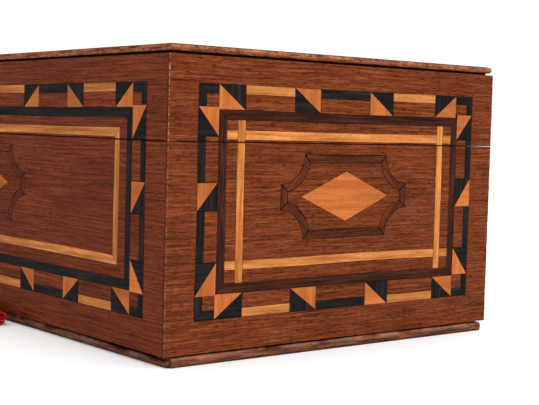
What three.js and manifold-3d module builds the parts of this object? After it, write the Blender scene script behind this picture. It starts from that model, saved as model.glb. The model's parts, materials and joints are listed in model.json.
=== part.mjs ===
// An inlaid wooden box: a rabbeted carcass on a moulded base, a hinged lid with a bullnosed
// top board, banding, stringing, cartouches and diamonds let into every face, brass butt
// hinges, a box lock with its link plate, and a key with a tassel on a cord.
// Millimetres, +Z up, origin at the centre of the underside, the front faces -Y.
import * as THREE from "three";
import { mergeVertices } from "three/addons/utils/BufferGeometryUtils.js";
import Module from "manifold-3d";

const wasm = await Module();
wasm.setup();

// ---- driving dimensions ----
const BODY_WIDTH = 350;
const BODY_DEPTH = 200;
const WALL_HEIGHT = 90;
const PARTING_GAP = 0.6; // the lid closes with this much daylight
const LID_SIDE_HEIGHT = 36.3;
const WALL = 10;
const FACING = 1; // how far the end walls lap over the front and back walls
const JOINT_GAP = 0.1; // glue joints between pieces of the carcass

const BASE_THICKNESS = 4.9;
const MOULDING_WIDTH = 12;
const FRONT_MOULDING_INSET = 1.7;
const END_MOULDING_PROUD = 0.8;
const TOP_THICKNESS = 3.9;
const BULLNOSE = 1.7; // how far the rounded edge of the boards reaches in

// Inlay, let in flush with the faces.
const INLAY_DEPTH = 1;
const INLAY_FIT = 0.12; // glue line round every inlay
const END_MARGIN = 14.9;
const LONG_MARGIN = 16.4;
const BOTTOM_MARGIN = 14.2;
const TOP_MARGIN = 11.7;
const BORDER_WIDTH = 15.2; // the checkered band and the dark band inside it
const STRING_GAP = 5.8;
const STRING_WIDTH = 4.1;
const LID_STRING_RISE = 0.9; // the lid's lowest string starts this far over its rim

const CARTOUCHE_BAND = 4.1;
const CARTOUCHE_RISE = 66.3; // centre of the cartouches over the foot of the walls
const CARTOUCHE_HALF_HEIGHT = 19.3;
const CARTOUCHE_SCOOP = 13.5; // radius of the hollow corners
const END_CARTOUCHE_HALF_WIDTH = 39.2;
const LONG_CARTOUCHE_HALF_WIDTH = 50;
const END_DIAMOND = [27.6, 11.7]; // half width and half height
const LONG_DIAMOND = [32.6, 13.4];
const TOP_CARTOUCHE = [70, 42];
const TOP_DIAMOND = [45, 24];

// Butt hinges, let into the rims at the back.
const HINGE_LENGTH = 34;
const HINGE_SPACING = 210; // centre to centre
const LEAF_WIDTH = 8.2;
const LEAF_THICKNESS = 1.2;
const LEAF_PROUD = 0.2; // how far each leaf stands over its rim
const KNUCKLE_RADIUS = 2.3;
const KNUCKLE_CLEARANCE = 0.1;
const PIN_RADIUS = 1.1;
const PIN_CLEARANCE = 0.06;

// Box lock, set into the inside of the front wall.
const LOCK_WIDTH = 56;
const LOCK_BELOW_KEY = 14; // foot of the lock under the key's axis
const LOCK_FRONT_WOOD = 3.5; // wood left in front of the lock
const LOCK_PLATE = 1.2;
const LOCK_FIT = 0.15;
const LOOP_SPACING = 26;
const LOOP_THICKNESS = 1.8;
const LOOP_DROP = 8;
const LOOP_DEPTH = 4;
const LOOP_CLEARANCE = 0.5;
const BOLT_THICKNESS = 1.6;
const BOLT_TRAVEL = 6;
const BOLT_BAR = 2.4; // height of the bolt's fingers
const BOLT_UPRIGHT = 2.5; // width of the uprights that carry the fingers
const BOLT_HEADROOM = 2.2;
const BOLT_OVER_BIT = 0.8;
const KEYHOLE_RADIUS = 2.7;
const KEYHOLE_SLOT = [1.2, 8]; // half width, and reach below the key axis
const LINER_WALL = 0.8;

// Key with a pipe, and the tassel that hangs from it.
const STEM_RADIUS = 2.2;
const STEM_OUT = 12; // stem from the face of the box to the bow
const PIPE_BORE = 1.3;
const DRILL_PIN_RADIUS = 1;
const BOW_RADIUS = 7.4;
const BOW_BAR = 1.5;
const BIT = [7.4, 3.6, 1.6]; // reach from the axis, width along the stem, thickness
const CORD_RADIUS = 1;
const HEAD_RADIUS = 4.3;
const HEAD_LENGTH = 9;
const SKIRT_LENGTH = 30;

const LINING_THICKNESS = 2.2;
const LINING_GAP = 0.5;

// ---- levels and places that follow from them ----
const FLOOR = BASE_THICKNESS;
const RIM = FLOOR + WALL_HEIGHT;
const LID_RIM = RIM + PARTING_GAP;
const LID_TOP = LID_RIM + LID_SIDE_HEIGHT;
const TOTAL_HEIGHT = LID_TOP + TOP_THICKNESS;
const KEY_AXIS = FLOOR + CARTOUCHE_RISE; // the keyhole is in the middle of the front diamond
const CUT = 2; // how far a cutting solid runs past the face it cuts

// ---- finishes ----
const finish = (color, roughness, metalness = 0) =>
  new THREE.MeshStandardMaterial({ color, roughness, metalness });
const WALNUT = finish(0x7a3f22, 0.45);
const ROSEWOOD = finish(0x3a1f18, 0.4);
const EBONY = finish(0x1c1a1c, 0.4);
const BOXWOOD = finish(0xd08a3c, 0.4);
const SATINWOOD = finish(0xc8713a, 0.35);
const PINE = finish(0xa9824f, 0.7);
const BRASS = finish(0xb08d4a, 0.35, 1);
const STEEL = finish(0x8a8a88, 0.4, 1);
const VELVET = finish(0x6b1420, 0.9);
const SILK = finish(0xb01020, 0.6);

// ---- making and joining shapes ----
function solid(geometry) {
  const bare = geometry.clone();
  bare.deleteAttribute("normal");
  bare.deleteAttribute("uv");
  const merged = mergeVertices(bare, 1e-4);
  return new wasm.Manifold(
    new wasm.Mesh({
      numProp: 3,
      vertProperties: merged.attributes.position.array,
      triVerts: new Uint32Array(merged.index.array),
    }),
  );
}

function geometryOf(manifold) {
  const mesh = manifold.getMesh();
  const geometry = new THREE.BufferGeometry();
  geometry.setAttribute("position", new THREE.BufferAttribute(mesh.vertProperties, 3));
  geometry.setIndex(new THREE.BufferAttribute(mesh.triVerts, 1));
  const faceted = geometry.toNonIndexed();
  faceted.computeVertexNormals();
  return faceted;
}

const join = (...pieces) => geometryOf(pieces.map(solid).reduce((all, one) => all.add(one)));

const cut = (body, ...tools) =>
  geometryOf(tools.map(solid).reduce((left, tool) => left.subtract(tool), solid(body)));

const block = (x0, x1, y0, y1, z0, z1) =>
  new THREE.BoxGeometry(x1 - x0, y1 - y0, z1 - z0).translate(
    (x0 + x1) / 2,
    (y0 + y1) / 2,
    (z0 + z1) / 2,
  );

// A closed outline, always turned counter-clockwise so that its holes extrude the right way.
function outline(points) {
  const corners = points.map(([x, y]) => new THREE.Vector2(x, y));
  return new THREE.Shape(THREE.ShapeUtils.isClockWise(corners) ? corners.reverse() : corners);
}

// An outline in plan, standing from z0 to z1.
const prism = (shape, z0, z1) =>
  new THREE.ExtrudeGeometry(shape, { depth: z1 - z0, bevelEnabled: false, curveSegments: 12 }).translate(
    0,
    0,
    z0,
  );

// An outline drawn on a face (along the face, up), reaching from y0 to y1 behind the face.
const sunk = (shape, y0, y1) => prism(shape, 0, y1 - y0).rotateX(Math.PI / 2).translate(0, y1, 0);

// A round bar along X or Y.
const barX = (radius, x0, x1, y, z, sides = 32) =>
  new THREE.CylinderGeometry(radius, radius, x1 - x0, sides)
    .rotateZ(Math.PI / 2)
    .translate((x0 + x1) / 2, y, z);
const barY = (radius, y0, y1, x, z, sides = 24) =>
  new THREE.CylinderGeometry(radius, radius, y1 - y0, sides).translate(x, (y0 + y1) / 2, z);

function mesh(name, geometry, material) {
  const made = new THREE.Mesh(geometry, material);
  made.name = name;
  return made;
}

// ---- outlines of the inlay; fit shrinks a piece inside its pocket ----

// A band round three sides of a field: legs from `open` down (or up) to a closed side.
function threeSided(outer, inner, open, closed, closedInner, fit = 0) {
  const inward = Math.sign(open - closed) * fit;
  const a = outer - fit;
  const b = inner + fit;
  return outline([
    [-a, open],
    [-a, closed + inward],
    [a, closed + inward],
    [a, open],
    [b, open],
    [b, closedInner - inward],
    [-b, closedInner - inward],
    [-b, open],
  ]);
}

// The stringing of an end face: its strings cross and run on to the border.
function crossedStrings(outer, inner, reach, open, near, far, end, fit = 0) {
  const inward = Math.sign(open - end) * fit;
  const a = outer - fit;
  const b = inner + fit;
  const r = reach - fit;
  const half = [
    [a, open],
    [a, far - inward],
    [r, far - inward],
    [r, near + inward],
    [a, near + inward],
    [a, end + inward],
    [b, end + inward],
    [b, near + inward],
  ];
  const left = half.map(([x, z]) => [-x, z]).reverse();
  const inside = [
    [-b, open],
    [-b, far - inward],
    [b, far - inward],
    [b, open],
  ];
  return outline([...half, ...left, ...inside]);
}

const rectangle = (x0, x1, z0, z1, fit = 0) =>
  outline([
    [x0 + fit, z0 + fit],
    [x1 - fit, z0 + fit],
    [x1 - fit, z1 - fit],
    [x0 + fit, z1 - fit],
  ]);

function frameOf(halfX, halfY, width, fit = 0) {
  const shape = rectangle(-halfX, halfX, -halfY, halfY, fit);
  shape.holes.push(rectangle(-halfX + width, halfX - width, -halfY + width, halfY - width, -fit));
  return shape;
}

// A rectangle with hollow corners, drawn `inset` inside itself.
function scooped(halfWidth, halfHeight, inset, centre = 0) {
  const radius = CARTOUCHE_SCOOP + inset;
  const start = Math.asin(inset / radius);
  const steps = 8;
  const corner = [];
  for (let i = 0; i <= steps; i++) {
    const angle = start + ((Math.PI / 2 - 2 * start) * i) / steps;
    corner.push([halfWidth - radius * Math.cos(angle), halfHeight - radius * Math.sin(angle)]);
  }
  const back = [...corner].reverse();
  return [
    ...corner,
    ...back.map(([x, y]) => [x, -y]),
    ...corner.map(([x, y]) => [-x, -y]),
    ...back.map(([x, y]) => [-x, y]),
  ].map(([x, y]) => [x, y + centre]);
}

function cartouche(halfWidth, halfHeight, centre, fit = 0) {
  const shape = outline(scooped(halfWidth, halfHeight, fit, centre));
  shape.holes.push(outline(scooped(halfWidth, halfHeight, CARTOUCHE_BAND - fit, centre)));
  return shape;
}

function diamond([halfWidth, halfHeight], centre, fit = 0) {
  const shrink = 1 - (fit * Math.hypot(halfWidth, halfHeight)) / (halfWidth * halfHeight);
  return outline([
    [halfWidth * shrink, centre],
    [0, centre + halfHeight * shrink],
    [-halfWidth * shrink, centre],
    [0, centre - halfHeight * shrink],
  ]);
}

// A round hole with a slot under it, grown by `grow`.
function keyhole(grow) {
  const radius = KEYHOLE_RADIUS + grow;
  const half = KEYHOLE_SLOT[0] + grow;
  const mouth = Math.asin(half / radius);
  const start = mouth - Math.PI / 2;
  const sweep = 2 * Math.PI - 2 * mouth;
  const steps = 20;
  const points = [];
  for (let i = 0; i <= steps; i++) {
    const angle = start + (sweep * i) / steps;
    points.push([radius * Math.cos(angle), KEY_AXIS + radius * Math.sin(angle)]);
  }
  const foot = KEY_AXIS - KEYHOLE_SLOT[1] - grow;
  return outline([...points, [-half, foot], [half, foot]]);
}

// ---- the four faces ----
// Every face is built in its own frame: X along the face, Y inwards, Z up.
const FACES = [
  { side: "front", length: BODY_WIDTH, depth: BODY_DEPTH, turn: 0, long: true },
  { side: "right", length: BODY_DEPTH, depth: BODY_WIDTH, turn: Math.PI / 2, long: false },
  { side: "back", length: BODY_WIDTH, depth: BODY_DEPTH, turn: Math.PI, long: true },
  { side: "left", length: BODY_DEPTH, depth: BODY_WIDTH, turn: -Math.PI / 2, long: false },
];

function faceGroup(face) {
  const group = new THREE.Group();
  group.rotation.z = face.turn;
  group.position.set(
    (face.depth / 2) * Math.sin(face.turn),
    (-face.depth / 2) * Math.cos(face.turn),
    0,
  );
  return group;
}

// Plan of a wall or a lid rail: the long ones fit between the laps of the end ones.
function wallPlan(face) {
  const end = face.length / 2;
  if (face.long) return rectangle(-end + FACING + JOINT_GAP, end - FACING - JOINT_GAP, 0, WALL);
  const shoulder = end - WALL - JOINT_GAP;
  return outline([
    [-end, 0],
    [end, 0],
    [end, FACING],
    [shoulder, FACING],
    [shoulder, WALL],
    [-shoulder, WALL],
    [-shoulder, FACING],
    [-end, FACING],
  ]);
}

// Half widths of the rings of inlay on a face.
function rings(face) {
  const border = face.length / 2 - (face.long ? LONG_MARGIN : END_MARGIN);
  const field = border - BORDER_WIDTH;
  const string = field - STRING_GAP;
  return { border, field, string, inside: string - STRING_WIDTH };
}

function lowerInlay(face, fit) {
  const { border, field, string, inside } = rings(face);
  const foot = FLOOR + BOTTOM_MARGIN;
  const fieldFoot = foot + BORDER_WIDTH;
  const stringFoot = fieldFoot + STRING_GAP;
  const stringTop = stringFoot + STRING_WIDTH;
  const open = fit ? RIM : RIM + CUT;
  const centre = FLOOR + CARTOUCHE_RISE;
  const width = face.long ? LONG_CARTOUCHE_HALF_WIDTH : END_CARTOUCHE_HALF_WIDTH;
  return {
    border: threeSided(border, field, open, foot, fieldFoot, fit),
    string: face.long
      ? threeSided(string, inside, open, stringFoot, stringTop, fit)
      : crossedStrings(string, inside, field, open, stringFoot, stringTop, fieldFoot, fit),
    cartouche: cartouche(width, CARTOUCHE_HALF_HEIGHT, centre, fit),
    diamond: diamond(face.long ? LONG_DIAMOND : END_DIAMOND, centre, fit),
  };
}

function upperInlay(face, fit) {
  const { border, field, string, inside } = rings(face);
  const head = LID_TOP - TOP_MARGIN;
  const fieldHead = head - BORDER_WIDTH;
  const stringFoot = LID_RIM + LID_STRING_RISE;
  const stringTop = stringFoot + STRING_WIDTH;
  const open = fit ? LID_RIM : LID_RIM - CUT;
  return {
    border: threeSided(border, field, open, head, fieldHead, fit),
    string: face.long
      ? rectangle(-string, string, stringFoot, stringTop, fit)
      : crossedStrings(string, inside, field, open, stringTop, stringFoot, fieldHead, fit),
  };
}

// The pockets of a face's inlay, as cutting solids.
const pockets = (shapes) => Object.values(shapes).map((shape) => sunk(shape, -CUT, INLAY_DEPTH));

const inlayColours = { border: EBONY, string: BOXWOOD, cartouche: ROSEWOOD, diamond: SATINWOOD };

function addInlays(group, side, level, shapes) {
  for (const [kind, shape] of Object.entries(shapes)) {
    const name = kind === "border" || kind === "string" ? `${side}_${kind}_${level}` : `${side}_${kind}`;
    group.add(mesh(name, sunk(shape, 0, INLAY_DEPTH - INLAY_FIT), inlayColours[kind]));
  }
}

// ---- hinges: places along the back, seen from the back ----
const HINGE_X = [-HINGE_SPACING / 2, HINGE_SPACING / 2];
const PARTING = RIM + PARTING_GAP / 2;
const AXIS_OUT = KNUCKLE_RADIUS + KNUCKLE_CLEARANCE; // hinge axis behind the back face
const KNUCKLES = 5;

// Mortise for a leaf in a rim; the leaf's flat face ends up LEAF_PROUD over the rim.
function mortise(x, rim, up) {
  const floor = rim + up * (LEAF_THICKNESS - LEAF_PROUD + INLAY_FIT);
  const air = rim - up * CUT;
  const half = HINGE_LENGTH / 2 + INLAY_FIT;
  const [low, high] = up > 0 ? [air, floor] : [floor, air];
  return block(x - half, x + half, -CUT, LEAF_WIDTH + INLAY_FIT, low, high);
}

// A leaf with every other knuckle; up is +1 for the lid's leaf and -1 for the body's.
function leaf(x, rim, up) {
  const far = rim + up * (LEAF_THICKNESS - LEAF_PROUD);
  const near = rim - up * LEAF_PROUD;
  const low = Math.min(far, near);
  const high = Math.max(far, near);
  const pitch = HINGE_LENGTH / KNUCKLES;
  const pieces = [block(x - HINGE_LENGTH / 2, x + HINGE_LENGTH / 2, 0, LEAF_WIDTH, low, high)];
  for (let i = up > 0 ? 1 : 0; i < KNUCKLES; i += 2) {
    const x0 = x - HINGE_LENGTH / 2 + i * pitch + (i ? KNUCKLE_CLEARANCE : 0);
    const x1 = x - HINGE_LENGTH / 2 + (i + 1) * pitch - (i < KNUCKLES - 1 ? KNUCKLE_CLEARANCE : 0);
    pieces.push(block(x0, x1, -AXIS_OUT, LEAF_WIDTH / 2, low, high));
    pieces.push(barX(KNUCKLE_RADIUS, x0, x1, -AXIS_OUT, PARTING));
  }
  const bore = barX(PIN_RADIUS + PIN_CLEARANCE, x - HINGE_LENGTH, x + HINGE_LENGTH, -AXIS_OUT, PARTING);
  return cut(join(...pieces), bore);
}

// ---- lock, in the frame of the front face ----
const LOCK_BACK = WALL; // flush with the inside of the wall
const LOCK_FRONT = LOCK_FRONT_WOOD + LOCK_FIT;
const LOOP_Y = (LOCK_FRONT + LOCK_BACK - LOCK_PLATE) / 2;
const BOLT_TOP = RIM - LOCK_PLATE - BOLT_HEADROOM;
const BOLT_FOOT = KEY_AXIS + BIT[0] + BOLT_OVER_BIT;
const LOCK_FOOT = KEY_AXIS - LOCK_BELOW_KEY;

const lockRecess = () =>
  block(
    -LOCK_WIDTH / 2 - LOCK_FIT,
    LOCK_WIDTH / 2 + LOCK_FIT,
    LOCK_FRONT_WOOD,
    WALL + CUT,
    LOCK_FOOT - LOCK_FIT,
    RIM + CUT,
  );

// A tray open to the front, with slots in its top for the loops and a pin for the key's pipe.
function lockCase() {
  const half = LOCK_WIDTH / 2;
  const tray = cut(
    block(-half, half, LOCK_FRONT, LOCK_BACK, LOCK_FOOT, RIM),
    block(
      -half + LOCK_PLATE,
      half - LOCK_PLATE,
      LOCK_FRONT - CUT,
      LOCK_BACK - LOCK_PLATE,
      LOCK_FOOT + LOCK_PLATE,
      RIM - LOCK_PLATE,
    ),
    ...[-1, 1].map((s) => {
      const x = (s * LOOP_SPACING) / 2;
      const reach = LOOP_THICKNESS / 2 + LOOP_CLEARANCE;
      const deep = LOOP_DEPTH / 2 + LOOP_CLEARANCE;
      return block(x - reach, x + reach, LOOP_Y - deep, LOOP_Y + deep, RIM - 2 * LOCK_PLATE, RIM + CUT);
    }),
  );
  return join(tray, barY(DRILL_PIN_RADIUS, LOCK_FRONT, LOCK_BACK - LOCK_PLATE / 2, 0, KEY_AXIS));
}

// A comb whose two fingers slide into the loops.
function lockBolt() {
  const y0 = LOOP_Y - BOLT_THICKNESS / 2;
  const y1 = LOOP_Y + BOLT_THICKNESS / 2;
  const [left, right] = [-1, 1].map((s) => {
    const tip = (s * LOOP_SPACING) / 2 - LOOP_THICKNESS / 2 - LOOP_CLEARANCE;
    return { tip, root: tip - BOLT_TRAVEL - BOLT_UPRIGHT };
  });
  const barTop = (BOLT_FOOT + BOLT_TOP) / 2 - BOLT_HEADROOM / 2;
  const bar = block(left.root, right.root + BOLT_UPRIGHT, y0, y1, BOLT_FOOT, barTop);
  const fingers = [left, right].flatMap(({ tip, root }) => [
    block(root, tip, y0, y1, BOLT_TOP - BOLT_BAR, BOLT_TOP),
    block(root, root + BOLT_UPRIGHT, y0, y1, BOLT_FOOT, BOLT_TOP),
  ]);
  return join(bar, ...fingers);
}

// The plate in the lid's rim, with two loops that drop into the lock.
const LINK_END = 7; // plate past the loops
const LINK_EDGE = 0.4; // plate round the loops
const linkBlock = (fit, low, high) =>
  block(
    -LOOP_SPACING / 2 - LINK_END - fit,
    LOOP_SPACING / 2 + LINK_END + fit,
    LOOP_Y - LOOP_DEPTH / 2 - LINK_EDGE - fit,
    LOOP_Y + LOOP_DEPTH / 2 + LINK_EDGE + fit,
    low,
    high,
  );

function linkPlate() {
  const loops = [-1, 1].map((s) => {
    const x = (s * LOOP_SPACING) / 2;
    const deep = LOOP_DEPTH / 2;
    const window = BOLT_THICKNESS / 2 + LOOP_CLEARANCE;
    return cut(
      block(
        x - LOOP_THICKNESS / 2,
        x + LOOP_THICKNESS / 2,
        LOOP_Y - deep,
        LOOP_Y + deep,
        LID_RIM - LOOP_DROP,
        LID_RIM + LOCK_PLATE / 2,
      ),
      block(
        x - LOOP_THICKNESS,
        x + LOOP_THICKNESS,
        LOOP_Y - window,
        LOOP_Y + window,
        BOLT_TOP - BOLT_BAR - LOOP_CLEARANCE,
        BOLT_TOP + LOOP_CLEARANCE,
      ),
    );
  });
  return join(linkBlock(0, LID_RIM, LID_RIM + LOCK_PLATE), ...loops);
}

const linkMortise = () => linkBlock(LOCK_FIT, LID_RIM - CUT, LID_RIM + LOCK_PLATE + LOCK_FIT);

// ---- key: bow and bit both lie flat while the lock is open ----
function keySolid() {
  const tip = LOCK_BACK - LOCK_PLATE - LOCK_FIT;
  const bowCentre = -STEM_OUT - BOW_RADIUS;
  const bow = new THREE.TorusGeometry(BOW_RADIUS, BOW_BAR, 10, 32).translate(0, bowCentre, KEY_AXIS);
  const stem = barY(STEM_RADIUS, -STEM_OUT, tip, 0, KEY_AXIS);
  const collar = barY(STEM_RADIUS + 0.9, -STEM_OUT + 1.5, -STEM_OUT + 4, 0, KEY_AXIS);
  const bit = block(-BIT[0], 0, tip - BIT[1], tip, KEY_AXIS - BIT[2] / 2, KEY_AXIS + BIT[2] / 2);
  const bore = barY(PIPE_BORE, LOCK_FRONT - 1, tip + CUT, 0, KEY_AXIS);
  return cut(join(bow, stem, collar, bit), bore);
}

// Route of the tassel's cord, from the end of the bow down to the surface beside the base.
const CORD_ROUTE = [
  [0, -30.6, 68.2],
  [0, -30.6, 62],
  [0, -30.5, 54],
  [-0.1, -30.4, 46],
  [-0.3, -30.2, 38],
  [-0.8, -29.8, 30],
  [-1.5, -29.1, 22.5],
  [-2.4, -28, 15.6],
  [-3.6, -26.3, 9.8],
  [-4.9, -23.9, 5.3],
  [-6, -20.8, 2.4],
  [-6.4, -17.2, 1.3],
  [-5.4, -13.9, 1.2],
  [-3.2, -11.4, 1.4],
  [-0.2, -9.9, 2.3],
  [3.2, -9.2, 3.7],
];
const HEAD_START = 3.6;
const TASSEL_Y = -9.1;

function cordTube() {
  const curve = new THREE.CatmullRomCurve3(CORD_ROUTE.map((p) => new THREE.Vector3(...p)));
  const section = new THREE.Shape();
  section.absarc(0, 0, CORD_RADIUS, 0, 2 * Math.PI);
  return new THREE.ExtrudeGeometry(section, { steps: 36, curveSegments: 4, extrudePath: curve });
}

// A turned shape along +X, from pairs of [along, radius], resting on the surface under it.
function turned(profile, x, y, rest, flatten = 1) {
  const points = profile.map(([along, radius]) => new THREE.Vector2(radius, along));
  return new THREE.LatheGeometry(points, 24)
    .rotateZ(-Math.PI / 2)
    .scale(1, 1 / flatten, flatten)
    .translate(x, y, rest);
}

function tasselHead() {
  const profile = [[0, 0]];
  const steps = 8;
  for (let i = 1; i < steps; i++) {
    const angle = (Math.PI * i) / steps;
    profile.push([(HEAD_LENGTH / 2) * (1 - Math.cos(angle)), HEAD_RADIUS * Math.sin(angle) ** 0.7]);
  }
  profile.push([HEAD_LENGTH, 0]);
  return turned(profile, HEAD_START, TASSEL_Y, HEAD_RADIUS + 0.1);
}

function tasselSkirt() {
  const start = HEAD_START + HEAD_LENGTH + 0.3;
  const profile = [
    [0, 0],
    [0, HEAD_RADIUS * 0.72],
    [SKIRT_LENGTH * 0.3, HEAD_RADIUS * 1.05],
    [SKIRT_LENGTH, HEAD_RADIUS * 1.25],
    [SKIRT_LENGTH, 0],
  ];
  const flatten = 0.78;
  return turned(profile, start, TASSEL_Y, HEAD_RADIUS * 1.25 * flatten + 0.1, flatten);
}

// ---- boards and mouldings ----

// A board with its edges rounded over all the way round.
function bullnosedBoard(width, depth, z0, thickness) {
  const rounding = thickness * 0.45;
  const halfX = width / 2 - BULLNOSE;
  const halfY = depth / 2 - BULLNOSE;
  const shape = rectangle(-halfX, halfX, -halfY, halfY);
  return new THREE.ExtrudeGeometry(shape, {
    depth: thickness - 2 * rounding,
    bevelEnabled: true,
    bevelSize: BULLNOSE,
    bevelThickness: rounding,
    bevelSegments: 5,
  }).translate(0, 0, z0 + rounding);
}

// A half-round strip under a wall, mitred at both ends; its outer edge is at y = inset.
function mouldingStrip(face) {
  const inset = face.long ? FRONT_MOULDING_INSET : -END_MOULDING_PROUD;
  const endInset = face.long ? -END_MOULDING_PROUD : FRONT_MOULDING_INSET;
  const half = face.length / 2 - endInset - JOINT_GAP;
  const steps = 8;
  const profile = [
    [MOULDING_WIDTH, 0],
    [MOULDING_WIDTH, BASE_THICKNESS],
  ];
  for (let i = 0; i <= steps; i++) {
    const angle = Math.PI / 2 + (Math.PI * i) / steps;
    profile.push([
      inset + BULLNOSE + BULLNOSE * Math.cos(angle),
      (BASE_THICKNESS / 2) * (1 + Math.sin(angle)),
    ]);
  }
  const strip = new THREE.ExtrudeGeometry(outline(profile), { depth: 2, bevelEnabled: false });
  // The outline's axes are (inwards, up) and the extrusion runs along the face.
  const place = strip.attributes.position;
  for (let i = 0; i < place.count; i++) {
    const inwards = place.getX(i);
    const up = place.getY(i);
    const end = place.getZ(i) > 1 ? 1 : -1;
    place.setXYZ(i, end * (half - (inwards - inset)), inwards, up);
  }
  return strip;
}

// ---- assembly ----
const box = new THREE.Group();

const innerX = BODY_WIDTH / 2 - WALL;
const innerY = BODY_DEPTH / 2 - WALL;
const boardX = BODY_WIDTH / 2 - MOULDING_WIDTH - JOINT_GAP;
const boardY = BODY_DEPTH / 2 - MOULDING_WIDTH - JOINT_GAP;
box.add(mesh("bottom_board", block(-boardX, boardX, -boardY, boardY, 0, FLOOR - JOINT_GAP), PINE));

for (const face of FACES) {
  const group = faceGroup(face);
  const { side } = face;
  const isFront = side === "front";
  const isBack = side === "back";

  group.add(mesh(`base_moulding_${side}`, mouldingStrip(face), WALNUT));

  const wallCuts = pockets(lowerInlay(face, 0));
  if (isFront) wallCuts.push(lockRecess(), sunk(keyhole(0), -CUT, WALL + CUT));
  if (isBack) wallCuts.push(...HINGE_X.map((x) => mortise(x, RIM, -1)));
  const wall = prism(wallPlan(face), FLOOR + JOINT_GAP, RIM);
  group.add(mesh(`${side}_wall`, cut(wall, ...wallCuts), WALNUT));

  const lower = lowerInlay(face, INLAY_FIT);
  if (isFront) lower.diamond.holes.push(keyhole(LINER_WALL + INLAY_FIT));
  addInlays(group, side, "lower", lower);

  const railCuts = pockets(upperInlay(face, 0));
  if (isFront) railCuts.push(linkMortise());
  if (isBack) railCuts.push(...HINGE_X.map((x) => mortise(x, LID_RIM, 1)));
  const rail = prism(wallPlan(face), LID_RIM, LID_TOP);
  group.add(mesh(`lid_${side}_rail`, cut(rail, ...railCuts), WALNUT));
  addInlays(group, side, "upper", upperInlay(face, INLAY_FIT));

  if (isFront) {
    const liner = keyhole(LINER_WALL);
    liner.holes.push(keyhole(0.02));
    group.add(mesh("keyhole_liner", sunk(liner, 0, INLAY_DEPTH - INLAY_FIT), BRASS));
    group.add(mesh("lock_case", lockCase(), BRASS));
    group.add(mesh("lock_bolt", lockBolt(), STEEL));
    group.add(mesh("link_plate", linkPlate(), BRASS));
    group.add(mesh("key", keySolid(), STEEL));
    group.add(mesh("tassel_cord", cordTube(), SILK));
    group.add(mesh("tassel_head", tasselHead(), SILK));
    group.add(mesh("tassel_skirt", tasselSkirt(), SILK));
  }
  if (isBack) {
    HINGE_X.forEach((x, i) => {
      const place = ["left", "right"][1 - i]; // the back face's own left is the box's right
      group.add(mesh(`hinge_${place}_body_leaf`, leaf(x, RIM, -1), BRASS));
      group.add(mesh(`hinge_${place}_lid_leaf`, leaf(x, LID_RIM, 1), BRASS));
      const half = HINGE_LENGTH / 2;
      const pin = barX(PIN_RADIUS, x - half, x + half, -AXIS_OUT, PARTING);
      group.add(mesh(`hinge_${place}_pin`, pin, STEEL));
    });
  }
  box.add(group);
}

// Lid board, with a ring of banding, stringing, a cartouche and a diamond let into its top.
const topBorder = [BODY_WIDTH / 2 - LONG_MARGIN, BODY_DEPTH / 2 - END_MARGIN];
const topString = topBorder.map((half) => half - BORDER_WIDTH - STRING_GAP);
const topInlay = (fit) => ({
  border: frameOf(...topBorder, BORDER_WIDTH, fit),
  string: frameOf(...topString, STRING_WIDTH, fit),
  cartouche: cartouche(...TOP_CARTOUCHE, 0, fit),
  diamond: diamond(TOP_DIAMOND, 0, fit),
});
const boardBottom = LID_TOP + JOINT_GAP;
const lidBoard = bullnosedBoard(BODY_WIDTH, BODY_DEPTH, boardBottom, TOTAL_HEIGHT - boardBottom);
const topPockets = Object.values(topInlay(0)).map((shape) =>
  prism(shape, TOTAL_HEIGHT - INLAY_DEPTH, TOTAL_HEIGHT + CUT),
);
box.add(mesh("lid_top_board", cut(lidBoard, ...topPockets), WALNUT));
for (const [kind, shape] of Object.entries(topInlay(INLAY_FIT))) {
  const inlay = prism(shape, TOTAL_HEIGHT - INLAY_DEPTH + INLAY_FIT, TOTAL_HEIGHT);
  box.add(mesh(`top_${kind}`, inlay, inlayColours[kind]));
}

// Velvet on the floor and under the lid.
const liningX = innerX - LINING_GAP;
const liningY = innerY - LINING_GAP;
const lining = (low, high) => block(-liningX, liningX, -liningY, liningY, low, high);
box.add(mesh("floor_lining", lining(FLOOR + JOINT_GAP, FLOOR + LINING_THICKNESS), VELVET));
box.add(mesh("lid_lining", lining(LID_TOP - LINING_THICKNESS, LID_TOP - JOINT_GAP), VELVET));

export default box;
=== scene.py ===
import json

import bpy
import numpy as np
from mathutils import Matrix, Vector


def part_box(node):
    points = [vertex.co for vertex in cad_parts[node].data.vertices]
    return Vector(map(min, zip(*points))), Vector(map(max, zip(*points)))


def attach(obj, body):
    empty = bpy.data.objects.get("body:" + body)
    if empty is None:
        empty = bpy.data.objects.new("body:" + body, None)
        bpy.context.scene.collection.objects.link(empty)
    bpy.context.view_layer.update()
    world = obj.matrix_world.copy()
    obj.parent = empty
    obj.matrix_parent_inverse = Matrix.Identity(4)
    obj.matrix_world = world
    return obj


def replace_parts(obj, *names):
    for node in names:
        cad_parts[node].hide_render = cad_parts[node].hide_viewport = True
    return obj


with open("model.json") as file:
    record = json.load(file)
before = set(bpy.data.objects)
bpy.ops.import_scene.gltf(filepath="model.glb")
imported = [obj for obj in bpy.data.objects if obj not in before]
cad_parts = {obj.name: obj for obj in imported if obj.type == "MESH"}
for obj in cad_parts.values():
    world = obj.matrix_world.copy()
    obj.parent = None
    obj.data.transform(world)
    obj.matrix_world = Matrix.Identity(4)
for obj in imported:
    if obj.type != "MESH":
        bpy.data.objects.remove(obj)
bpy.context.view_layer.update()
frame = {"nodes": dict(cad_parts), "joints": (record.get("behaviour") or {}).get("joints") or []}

# ---- Camera ----
# A long lens at the height of the lid, looking at the corner between the front and the right
# end, and turned a little about its own line of sight.
AZIMUTH, DROP, ROLL = np.radians([51.02, 3.50, 1.508])
STANDPOINT = (0.5918, -0.3827, 0.1018)
FOCAL_LENGTH, SENSOR = 81.06, 36  # millimetres

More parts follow.
